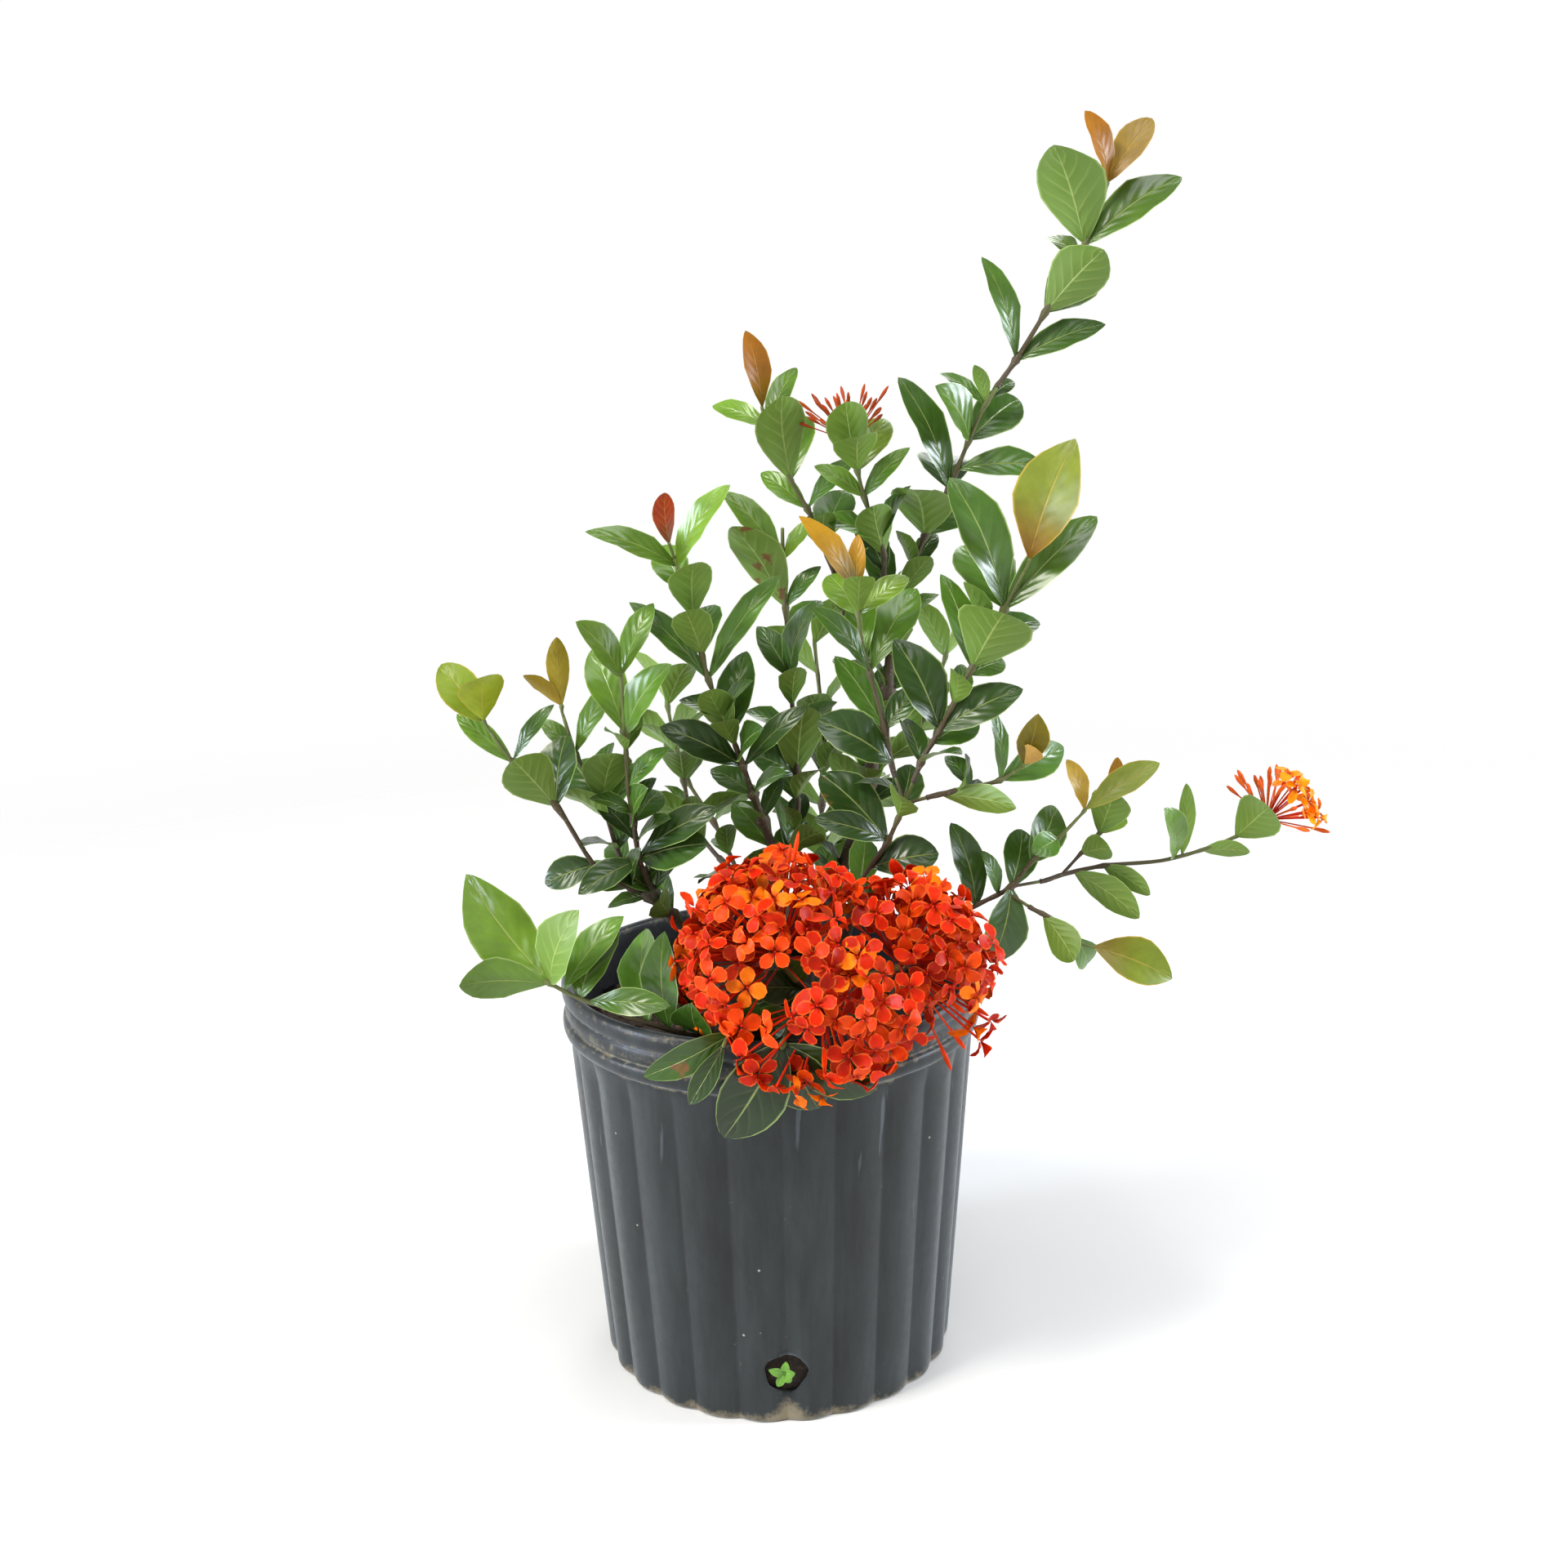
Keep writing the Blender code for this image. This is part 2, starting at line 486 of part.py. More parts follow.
def make_pot(cutters):
    top = POT_HEIGHT
    profile = [
        (0.0, FLOOR),
        (inner_radius(FLOOR), FLOOR),
        (inner_radius(FLUTE_FULL), FLUTE_FULL),
        (LIP_RADIUS - 0.0065, top - 0.0015),
        (LIP_RADIUS - 0.0034, top),
        (LIP_RADIUS, top - 0.0035),
        (LIP_RADIUS, top - 0.0090),
        (LIP_RADIUS - 0.0026, top - 0.0120),
        (LIP_RADIUS - 0.0026, top - 0.0222),
        (LIP_RADIUS - 0.0006, top - 0.0255),
        (LIP_RADIUS - 0.0010, top - 0.0305),
        (WALL_TOP_RADIUS, FLUTE_TOP),
        (WALL_TOP_RADIUS - 0.0006, FLUTE_FULL),
        (BASE_RADIUS, 0.0035),
        (BASE_RADIUS - 0.0028, 0.0),
        (0.0, 0.0),
    ]
    pot = turned("pot_blank", profile, FLUTES * 2, cutters)
    for vertex in pot.data.vertices:
        x, y, z = vertex.co
        radius = math.hypot(x, y)
        if radius < 0.09 or z > FLUTE_TOP - 0.0001:
            continue
        angle = math.atan2(y, x)
        valley = 0.5 + 0.5 * math.cos(FLUTES * (angle - DRAIN_TURN))
        scale = (radius - FLUTE_DEPTH * valley) / radius
        vertex.co.x = x * scale
        vertex.co.y = y * scale
    drains = []
    for index in range(DRAIN_COUNT):
        angle = DRAIN_TURN + index * 2 * math.pi / DRAIN_COUNT
        way = Vector((math.cos(angle), math.sin(angle), 0.0))
        level = Vector((0.0, 0.0, DRAIN_HEIGHT))
        drains.append(round_cutter(f"drain_{index}", way * DRAIN_CUT[0] + level, way * DRAIN_CUT[1] + level,
                                   DRAIN_RADIUS, 12, cutters))
    return cut(pot, drains, cutters)


def soil_radius(height):
    return inner_radius(height) - FLUTE_DEPTH - GAP * 1.5


def make_soil(cutters):
    bottom = FLOOR + GAP
    edge = SOIL_TOP - 0.004
    profile = [
        (0.0, SOIL_TOP),
        (0.045, SOIL_TOP),
        (0.088, SOIL_TOP - 0.001),
        (soil_radius(FLUTE_FULL) - 0.002, edge),
        (soil_radius(FLUTE_FULL), edge - 0.008),
        (soil_radius(bottom), bottom),
        (0.0, bottom),
    ]
    soil = turned("soil_blank", profile, SOIL_SIDES, cutters)
    for vertex in soil.data.vertices:
        x, y, z = vertex.co
        if z > edge + 0.0001:
            vertex.co.z += SOIL_BUMP * (math.sin(x * 95) * math.cos(y * 80 + 1) + 0.5 * math.sin(x * 170 + y * 210))
    holes = []
    for name, cane in CANES.items():
        foot = point(cane["stems"][0][0])
        radius = cane["radius"][0] * MM + GAP
        start = foot - Vector((0.0, 0.0, GAP))
        holes.append(round_cutter(f"{name}_hole", start, start + Vector((0, 0, 0.05)), radius, 8, cutters))
    start = point(SEEDLING_ROOT) - (point(SEEDLING_TOP) - point(SEEDLING_ROOT)).normalized() * GAP
    holes.append(round_cutter("seedling_hole", start, point(SEEDLING_TOP), 0.0010 + GAP, 8, cutters))
    return cut(soil, holes, cutters)


class Plant:
    """Places of the stems and leaves, worked out from the tables before anything is built."""

    def __init__(self):
        self.ends = {}
        self.paths = {}
        self.leaves = {}

    def lay_stems(self, name, entry):
        """Stem paths of a node. A shoot starts a hair beyond the end it grows from, in line with it."""
        stems = [[point(p) for p in stem] for stem in entry["stems"]]
        if "from" in entry:
            end, way = self.ends[entry["from"]]
            start = end + way * GAP
            stems[0] = [start, start + way * 0.003] + stems[0]
        self.paths[name] = stems
        for index, stem in enumerate(stems):
            self.ends[(name, index)] = (stem[-1], (stem[-1] - stem[-2]).normalized())

    def lay_leaves(self, name, entry):
        """Roots, tips and stem directions of a node's leaves, as the tables give them."""
        rows = []
        for stem_index, key in ((0, "leaves"), (1, "branch_leaves")):
            stem = self.paths[name][stem_index] if key in entry else None
            if stem_index == 0 and stem:
                stem = [stem[0]] + stem[2:]
            for at, reach, width in entry.get(key, []):
                lower = min(int(at), len(stem) - 2)
                step = stem[lower + 1] - stem[lower]
                way = step.normalized()
                root = stem[lower] + step * (at - lower)
                if (root - stem[0]).length < JOINT_ROOM:
                    root = stem[0] + way * JOINT_ROOM
                room = JOINT_ROOM if name in SHOOTS else TIP_JOINT_ROOM
                if (root - stem[-1]).length < room:
                    root = stem[-1] - way * room
                rows.append([root, point(reach), width * MM, way])
        self.leaves[name] = rows


def upper_side(root, way, stem_way):
    """The way a blade's upper side faces: towards its stem's tip, then turned about the blade's own length until
    the blade is seen broad from outside the bush, from the front or from the back."""
    upper = stem_way - way * stem_way.dot(way)
    if upper.length < 0.2:
        upper = SPARE_UPPER - way * SPARE_UPPER.dot(way)
    upper.normalize()
    outside = Vector((0.0, -1.0 if root.y < BUSH_MIDDLE else 1.0, OUTSIDE_RISE))
    broad = outside - way * outside.dot(way)
    if upper.dot(broad) < LEAST_UPPER_VIEW:
        broad.negate()
    return (upper + broad * BROAD_TURN).normalized()


def blade(root, reach, width, stem_way):
    """The sheet of one leaf: points and triangles, with the upper side towards the stem's tip.

    Stations across the blade have a middle and two edge points. The edges are lifted towards the upper side,
    and the middle line bows up between root and tip.
    """
    length = reach.length
    way = reach.normalized()
    upper = upper_side(root, way, stem_way)
    side = way.cross(upper)
    if length > BIG_LEAF:
        stations = BIG_STATIONS
    elif length > SMALL_LEAF:
        stations = MIDDLE_STATIONS
    else:
        stations = SMALL_STATIONS
    points = [root]
    for place, share in stations:
        half = width * LEAF_BREADTH * 0.5 * share
        middle = root + way * (length * place) + upper * (length * LEAF_BOW * math.sin(math.pi * place))
        lift = upper * (half * EDGE_LIFT)
        points += [middle - side * half + lift, middle, middle + side * half + lift]
    points.append(root + reach)
    last = len(points) - 1
    faces = [(0, 3, 2), (0, 2, 1)]
    for base in range(1, last - 3, 3):
        left, middle, right = base, base + 1, base + 2
        faces += [(middle, right, right + 3), (middle, right + 3, middle + 3),
                  (left, middle, middle + 3), (left, middle + 3, left + 3)]
    faces += [(last - 2, last - 1, last), (last - 3, last - 2, last)]
    return points, faces, upper


def blade_guard(points, faces, upper, keep):
    """The blade and a sheet either side of it, a clearance away. keep is the first point that counts."""
    shift = upper * (LEAF_THICKNESS / 2 + LEAF_CLEARANCE)
    centre = sum(points, Vector()) / len(points)
    grown = [centre + (p - centre) * GUARD_GROWTH for p in points]
    vertices = [p + shift * layer for layer in (1, 0, -1) for p in grown]
    count = len(points)
    used = [face for face in faces if min(face) >= keep]
    return vertices, [tuple(i + count * layer for i in face) for layer in range(3) for face in used]


def tree(vertices, faces):
    return BVHTree.FromPolygons([tuple(v) for v in vertices], [tuple(f) for f in faces])


def box(vertices):
    corners = np.array([tuple(v) for v in vertices])
    return corners.min(0), corners.max(0)


def apart(first, second):
    return bool((first[0] > second[1]).any() or (second[0] > first[1]).any())


def bend_clear(plant, obstacles):
    """Turns each leaf in depth first and then sideways, until it clears all that was placed before it."""
    placed = []
    for name, rows in plant.leaves.items():
        settled = []
        for root, reach, width, stem_way in rows:
            choice = None
            for scale in SCALES_TRIED:
                choice = first_clear(name, root, reach * scale, width * scale, stem_way, obstacles, placed)
                if choice:
                    break
            if choice:
                settled.append(choice[0])
                placed.append(choice[1])
        plant.leaves[name] = settled


def first_clear(name, root, reach, width, stem_way, obstacles, placed):
    across = Vector((-reach.z, 0.0, reach.x))
    if across.length < 0.001:
        across = Vector((1.0, 0.0, 0.0))
    across.normalize()
    for sideways in SIDEWAYS_TRIED:
        for depth in DEPTHS_TRIED:
            turned_reach = reach + across * (sideways * MM) + Vector((0.0, depth * MM, 0.0))
            turned_reach = turned_reach.normalized() * reach.length
            points, faces, upper = blade(root, turned_reach, width, stem_way)
            guard, guard_faces = blade_guard(points, faces, upper, 0)
            outer, outer_faces = blade_guard(points, faces, upper, 1)
            limits = box(guard)
            whole = tree(guard, guard_faces)
            part = tree(outer, outer_faces)
            if is_clear(name, limits, whole, part, obstacles, placed):
                solid = tree(points, faces)
                outside = tree(points, [face for face in faces if min(face) >= 1])
                row = (root, turned_reach, width, stem_way)
                return row, (name, box(points), solid, outside)
    return None


def is_clear(name, limits, whole, part, obstacles, placed):
    for owner, other_limits, other in obstacles:
        if apart(limits, other_limits):
            continue
        mine = part if owner == name else whole
        if mine.overlap(other):
            return False
    for owner, other_limits, solid, outside in placed:
        if apart(limits, other_limits):
            continue
        if owner == name:
            if part.overlap(outside):
                return False
        elif whole.overlap(solid):
            return False
    return True


def obstacle(name, item):
    vertices = [item.matrix_world @ v.co for v in item.data.vertices]
    faces = [tuple(p.vertices) for p in item.data.polygons]
    return name, box(vertices), tree(vertices, faces)


def stem_radii(path, radius, first):
    """Radius at each point, from the thick end to the thin one. A side branch is thin all along."""
    if not first:
        return [radius[1] * MM] * len(path)
    count = len(path) - 1
    return [(radius[0] + (radius[1] - radius[0]) * i / count) * MM for i in range(count + 1)]


def build_stems(name, paths, radius, resolution, collection):
    return [tube(f"{name}_{index}", path, stem_radii(path, radius, index == 0), resolution, collection)
            for index, path in enumerate(paths)]


def solid_leaf(name, row, collection):
    points, faces, upper = blade(*row)
    item = object_from_faces(name, points, faces, collection)
    wall = item.modifiers.new("blade", "SOLIDIFY")
    wall.thickness = LEAF_THICKNESS
    wall.offset = 0.0
    return as_mesh_object(item, collection)


def frame_of(way):
    """Two directions square to way and to each other."""
    helper = Vector((0.0, 0.0, 1.0)) if abs(way.z) < 0.9 else Vector((1.0, 0.0, 0.0))
    first = way.cross(helper).normalized()
    return first, way.cross(first).normalized()


def cap_directions(facing, cap, count, turn):
    """Directions spread evenly over a spherical cap about facing, on a golden spiral."""
    axis = Vector(facing).normalized()
    first, second = frame_of(axis)
    low = math.cos(math.radians(cap))
    result = []
    for index in range(count):
        height = 1.0 - (1.0 - low) * (index + 0.5) / count
        ring = math.sqrt(max(0.0, 1.0 - height * height))
        angle = index * math.pi * (3.0 - math.sqrt(5.0)) + turn
        result.append((axis * height + first * ring * math.cos(angle) + second * ring * math.sin(angle)).normalized())
    return result


def floret(start, way, length, span, turn):
    """A four-petalled floret on its tube, as one closed body: points and faces."""
    first, second = frame_of(way)
    top = start + way * length
    outline = []
    for quarter in range(4):
        for offset, share, drop in PETAL_OUTLINE:
            angle = turn + quarter * math.pi / 2 + offset
            place = top + (first * math.cos(angle) + second * math.sin(angle)) * (span * 0.5 * share)
            outline.append(place - way * (drop * MM))
    ring = []
    for third in range(3):
        angle = turn + third * 2 * math.pi / 3
        ring.append((first * math.cos(angle) + second * math.sin(angle)) * TUBE_RADIUS)
    under = [p - way * PETAL_THICKNESS for p in outline]
    throat = [top - way * (PETAL_THICKNESS * 2.2) + r for r in ring]
    foot = [start + r * 0.8 for r in ring]
    vertices = outline + under + throat + foot
    count = len(outline)
    faces = [(0, 3, 6), (0, 6, 9)]
    for notch in range(0, count, 3):
        following = (notch + 3) % count
        faces += [(notch, notch + 1, notch + 2), (notch, notch + 2, following)]
        faces += [(count + notch, count + notch + 2, count + notch + 1),
                  (count + notch, count + following, count + notch + 2)]
    for index in range(count):
        following = (index + 1) % count
        faces += [(index, index + count, following), (following, index + count, following + count)]
    neck = count * 2
    faces += [(count, neck, neck + 1), (count, neck + 1, count + 3), (count + 3, neck + 1, count + 6),
              (count + 6, neck + 1, neck + 2), (count + 6, neck + 2, count + 9), (count + 9, neck + 2, neck),
              (count + 9, neck, count)]
    for index in range(3):
        following = (index + 1) % 3
        faces += [(neck + index, neck + 3 + index, neck + 3 + following),
                  (neck + index, neck + 3 + following, neck + following)]
    faces.append((neck + 3, neck + 5, neck + 4))
    return vertices, faces


def bud(start, way, length):
    """A closed bud: a thin tube that swells to a club and ends in a blunt point."""
    first, second = frame_of(way)
    vertices = []
    for place, radius in ((0.0, 0.8), (0.66, 0.9), (0.84, 1.9)):
        for third in range(3):
            angle = third * math.pi * 2 / 3
            ring = (first * math.cos(angle) + second * math.sin(angle)) * (radius * MM)
            vertices.append(start + way * (length * place) + ring)
    vertices.append(start + way * length)
    faces = [(2, 1, 0)]
    for level in (0, 3):
        for index in range(3):
            following = (index + 1) % 3
            faces.append((level + index, level + following, level + 3 + following, level + 3 + index))
    faces += [(6 + index, 6 + (index + 1) % 3, 9) for index in range(3)]
    return vertices, faces


def outward(item):
    """Turns a closed mesh's faces to point out."""
    cage = bmesh.new()
    cage.from_mesh(item.data)
    bmesh.ops.recalc_face_normals(cage, faces=cage.faces)
    cage.to_mesh(item.data)
    cage.free()
    return item


def inside_another(place, name):
    """True where the middle of a floret would lie within another dome."""
    return any((place - point(other["centre"])).length < (other["radius"] - HIDDEN_DEPTH) * MM
               for other_name, other in DOMES.items() if other_name != name)


def core(name, centre, radius, collection):
    bpy.ops.mesh.primitive_ico_sphere_add(subdivisions=2, radius=radius, location=centre)
    item = bpy.context.object
    item.name = name
    for other in list(item.users_collection):
        other.objects.unlink(item)
    collection.objects.link(item)
    return as_mesh_object(item, collection)


def stalk(name, plant, origin, centre, radius, collection):
    """The flower stalk from the end that carries a head to the middle of its core."""
    end, way = plant.ends[origin]
    start = end + way * GAP
    path = [start, start + way * 0.003, centre]
    return tube(name, path, [radius * MM] * 3, 0, collection)


def clear_of(vertices, faces, blocked):
    limits = box(vertices)
    shape = tree(vertices, faces)
    return not any(not apart(limits, limit) and shape.overlap(other) for limit, other in blocked)


def make_flower_cluster(plant, blocked, work):
    """Domes of florets on tubes that spread from small cores, fused where they run into each other."""
    operands = new_collection("flower_cluster_operands")
    for name, entry in DOMES.items():
        centre = point(entry["centre"])
        operands.objects.link(core(f"{name}_core", centre, entry["core"] * MM, work))
        operands.objects.link(stalk(f"{name}_stalk", plant, entry["from"], centre, STALK_RADIUS, work))
        start = entry["core"] * 0.7 * MM
        for index, way in enumerate(cap_directions(entry["facing"], entry["cap"], entry["florets"], 0.4)):
            if inside_another(centre + way * (entry["radius"] * MM), name):
                continue
            length = (entry["radius"] - FLORET_LAYER * (index % 2)) * MM - start
            vertices, faces = floret(centre + way * start, way, length, FLORET_SPAN, index * 0.6)
            if clear_of(vertices, faces, blocked):
                outward(object_from_faces(f"{name}_{index}", vertices, faces, operands))
    base = operands.objects[0]
    operands.objects.unlink(base)
    unite(base, operands)
    return base


def make_bud_head(name, plant, entry, blocked, work):
    """A young head: club-shaped buds on a small core, some of them open."""
    centre = point(entry["centre"])
    operands = new_collection(f"{name}_operands")
    base = core(name, centre, entry["core"] * MM, work)
    operands.objects.link(stalk(f"{name}_stalk", plant, entry["from"], centre, BUD_STALK_RADIUS, work))
    ways = cap_directions(entry["facing"], entry["cap"], entry["buds"], 1.0)
    opened = sorted(range(len(ways)), key=lambda i: -ways[i].x)[:entry.get("open", 0)]
    start = entry["core"] * 0.5 * MM
    for index, way in enumerate(ways):
        length = entry["length"] * MM * (0.86 + 0.14 * math.cos(index * 2.0))
        if index in opened:
            vertices, faces = floret(centre + way * start, way, length * 0.86, HALF_OPEN_SPAN, index * 0.7)
        else:
            vertices, faces = bud(centre + way * start, way, length)
        if clear_of(vertices, faces, blocked):
            outward(object_from_faces(f"{name}_{index}", vertices, faces, operands))
    unite(base, operands)
    return base


def make_seedling(work):
    root, top = point(SEEDLING_ROOT), point(SEEDLING_TOP)
    base = tube("seedling", [root, top], [1.0 * MM, 0.9 * MM], 0, work)
    operands = new_collection("seedling_operands")
    way = (top - root).normalized()
    for index, (reach, width) in enumerate(SEEDLING_LEAVES):
        row = (top - way * 0.0012, point(reach), width * MM, way)
        operands.objects.link(solid_leaf(f"seedling_{index}", row, work))
    unite(base, operands)
    return base


def main():
    clear_scene()
    parts = new_collection("potted_ixora")
    work = new_collection("cutters")
    materials = {name: make_material(name) for name in COLOURS}
    finish(make_pot(work), "nursery_pot", materials["pot_plastic"], parts)
    finish(make_soil(work), "potting_soil", materials["potting_mix"], parts)

    plant = Plant()
    leafy = {**SHOOTS, **TIPS}
    for name, entry in {**CANES, **leafy}.items():
        plant.lay_stems(name, entry)
    stems = {}
    for name, entry in {**CANES, **leafy}.items():
        radius = entry.get("radius", TIP_RADII if name in TIPS else SHOOT_RADII)
        resolution = 1 if name in CANES else 0
        stems[name] = build_stems(name, plant.paths[name], radius, resolution, work)
    for name, entry in leafy.items():
        plant.lay_leaves(name, entry)

    obstacles = [obstacle(item.name, item) for item in parts.objects]
    obstacles += [obstacle(name, item) for name, items in stems.items() for item in items]
    blocked = [(limits, other) for owner, limits, other in obstacles]
    heads = {"flower_cluster": make_flower_cluster(plant, blocked, work),
             "budding_head": make_bud_head("budding_head", plant, BUD_HEAD, blocked, work),
             "half_open_head": make_bud_head("half_open_head", plant, SIDE_HEAD, blocked, work)}
    for name, item in heads.items():
        finish(item, name, materials["petal_red"], parts)
        obstacles.append(obstacle(name, item))
    bend_clear(plant, obstacles)

    for name, items in stems.items():
        operands = new_collection(f"{name}_operands")
        for item in items[1:]:
            work.objects.unlink(item)
            operands.objects.link(item)
        for index, row in enumerate(plant.leaves.get(name, [])):
            leaf = solid_leaf(f"{name}_leaf_{index}", row, work)
            work.objects.unlink(leaf)
            operands.objects.link(leaf)
        unite(items[0], operands)
        colour = "bark" if name in CANES else leafy[name].get("colour", "leaf_green")
        finish(items[0], name, materials[colour], parts)
    finish(make_seedling(work), "weed_seedling", materials["seedling_green"], parts)


main()
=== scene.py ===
import math

import bpy
import numpy as np
from mathutils import Matrix


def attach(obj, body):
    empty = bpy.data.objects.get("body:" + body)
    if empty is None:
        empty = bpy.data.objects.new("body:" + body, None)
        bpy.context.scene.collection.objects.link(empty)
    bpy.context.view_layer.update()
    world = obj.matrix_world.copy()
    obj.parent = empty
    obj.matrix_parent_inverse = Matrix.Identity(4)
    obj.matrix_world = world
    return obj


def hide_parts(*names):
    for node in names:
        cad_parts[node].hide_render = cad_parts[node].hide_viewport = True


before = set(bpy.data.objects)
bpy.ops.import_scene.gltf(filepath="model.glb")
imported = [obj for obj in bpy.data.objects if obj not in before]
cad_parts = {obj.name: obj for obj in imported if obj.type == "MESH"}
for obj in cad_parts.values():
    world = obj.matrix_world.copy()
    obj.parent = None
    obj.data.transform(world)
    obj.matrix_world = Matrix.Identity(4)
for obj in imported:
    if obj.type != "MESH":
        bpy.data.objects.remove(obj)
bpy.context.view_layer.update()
print("frame loaded:", len(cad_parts), "nodes")

mm = 0.001
gap = 0.3          # mm between a shoot and the end that it grows from, as in the solids
rng = np.random.default_rng(27)

print("stage 1: camera, floor and light")

# the camera stands where the photograph was taken from, fitted to the pot's rim, foot and flutes (m, degrees)
cameraValues = {"lens": 40.875, "sensor": 36.0, "aside": 0.0036, "away": 1.1086, "height": 0.6631,
                "pitch": 13.996, "roll": -1.242, "yaw": 0.411, "nearest": 0.05}
# the white room dims overhead, from 1 below `white` to `overhead` above `dim` (sines of the angle up)
lightValues = {"aim": (0.0, 0.0, 0.35), "room": {"white": 0.20, "dim": 0.70, "overhead": 0.26},
               "key": {"place": (-1.5, -1.2, 2.7), "size": 0.8, "power": 70.0, "colour": "#fffaf0"},
               "top": {"place": (0.5, -0.7, 2.9), "size": 1.6, "power": 38.0, "colour": "#ffffff"},
               "left": {"place": (-2.4, -0.7, 0.7), "size": 0.7, "power": 62.0, "colour": "#e2ebff"},
               "right": {"place": (2.5, -0.1, 0.8), "size": 0.7, "power": 60.0, "colour": "#e8f0ff"},
               "back": {"place": (0.5, 2.2, 2.2), "size": 1.4, "power": 24.0, "colour": "#ffffff"}}
# the paper fades into the white room between near and far (m)
floorValues = {"size": 6.0, "near": 0.75, "far": 2.2, "darker": "#dadad8", "paler": "#e0e0df", "clouds": 1.3}


def linear(code):
    # sRGB hex to linear: values up to .04045 are divided by 12.92, the rest are ((v + .055) / 1.055) ** 2.4
    parts = np.array([int(code[i:i + 2], 16) / 255 for i in (1, 3, 5)])
    return np.where(parts <= 0.04045, parts / 12.92, ((parts + 0.055) / 1.055) ** 2.4)


def rgba(code):
    return (*linear(code), 1.0)


def setInputs(tree, node, inputs):
    # links an input that is a socket, or a node, which stands for its first output, and sets any other value
    for key, value in inputs.items():
        value = value.outputs[0] if isinstance(value, bpy.types.Node) else value
        if isinstance(value, bpy.types.NodeSocket):
            tree.links.new(value, node.inputs[key])
        else:
            node.inputs[key].default_value = value


def addNode(tree, kind, settings=None, inputs=None):
    # adds the shader node ShaderNode<kind>
    node = tree.nodes.new("ShaderNode" + kind)
    for key, value in (settings or {}).items():
        setattr(node, key, value)
    setInputs(tree, node, inputs or {})
    return node


# settings that many nodes share
smooth = {"interpolation_type": "SMOOTHSTEP"}
multiply, multiplyAdd = {"operation": "MULTIPLY"}, {"operation": "MULTIPLY_ADD"}


def layered(tree, skin, looks, layers):
    # each layer's colour lies over the ones before it: skin + share * (colour - skin)
    for share, colour in layers:
        inputs = {"Factor": share, 6: skin, 7: rgba(looks[colour])}
        skin = addNode(tree, "Mix", {"data_type": "RGBA"}, inputs).outputs[2]
    return skin


def newMaterial(name):
    material = bpy.data.materials.new(name)
    material.use_nodes = True
    return material, material.node_tree, material.node_tree.nodes["Principled BSDF"]


def placeCamera(c):
    # ahead is turned to the right by yaw and down by pitch, and right and up are turned about it by roll
    pitch, roll, yaw = (math.radians(c[k]) for k in ("pitch", "roll", "yaw"))
    ahead = np.array([math.sin(yaw) * math.cos(pitch), math.cos(yaw) * math.cos(pitch), -math.sin(pitch)])
    right = np.array([math.cos(yaw), -math.sin(yaw), 0.0])
    up = np.cross(right, ahead)
    turned = np.eye(4)
    turned[:3, 0] = math.cos(roll) * right + math.sin(roll) * up
    turned[:3, 1] = -math.sin(roll) * right + math.cos(roll) * up
    turned[:3, 2] = -ahead
    turned[:3, 3] = (c["aside"], -c["away"], c["height"])
    data = bpy.data.cameras.new("studioCamera")
    data.sensor_fit = "HORIZONTAL"
    data.sensor_width, data.lens, data.clip_start = c["sensor"], c["lens"], c["nearest"]
    data.dof.use_dof = False
    item = bpy.data.objects.new("studioCamera", data)
    item.matrix_world = Matrix(turned.tolist())
    bpy.context.scene.collection.objects.link(item)
    bpy.context.scene.camera = item


def placeLight(name, values, aim):
    # a round lamp that faces aim: leant from the vertical by the angle of (place - aim), then turned about z
    data = bpy.data.lights.new(name, "AREA")
    data.shape, data.size, data.energy = "DISK", values["size"], values["power"]
    data.color = tuple(linear(values["colour"]))
    item = bpy.data.objects.new(name, data)
    item.location = values["place"]
    away = np.array(values["place"]) - np.array(aim)
    lean, turn = math.acos(away[2] / np.linalg.norm(away)), math.atan2(away[1], away[0]) + math.pi / 2
    item.rotation_euler = (lean, 0.0, turn)
    bpy.context.scene.collection.objects.link(item)


def makeFloor(values):
    # a square sheet that the pot stands on
    mesh = bpy.data.meshes.new("studioFloor")
    size = values["size"]
    corners = [(-size, -size, 0), (size, -size, 0), (size, size, 0), (-size, size, 0)]
    mesh.from_pydata(corners, [], [(0, 1, 2, 3)])
    item = bpy.data.objects.new("studioFloor", mesh)
    bpy.context.scene.collection.objects.link(item)
    # pale paper, nearly even, with a faint cloudiness; the lamps bring it up to white
    paper, tree, shader = newMaterial("white_paper")
    place = addNode(tree, "TexCoord").outputs["Object"]
    cloud = addNode(tree, "TexNoise", inputs={"Vector": place, "Scale": values["clouds"], "Detail": 2.0})
    tone = addNode(tree, "Mix", {"data_type": "RGBA"}, {
        "Factor": cloud.outputs["Fac"], 6: rgba(values["darker"]), 7: rgba(values["paler"])})
    # farther out the paper lets the white room through, so the floor has no edge and no horizon
    reach = addNode(tree, "VectorMath", {"operation": "LENGTH"}, {0: place}).outputs["Value"]
    there = addNode(tree, "MapRange", smooth, {
        "Value": reach, "From Min": values["near"], "From Max": values["far"], "To Min": 1.0, "To Max": 0.0})
    setInputs(tree, shader, {"Base Color": tone.outputs[2], "Roughness": 0.9, "Specular IOR Level": 0.1,
                             "Alpha": there})
    mesh.materials.append(paper)


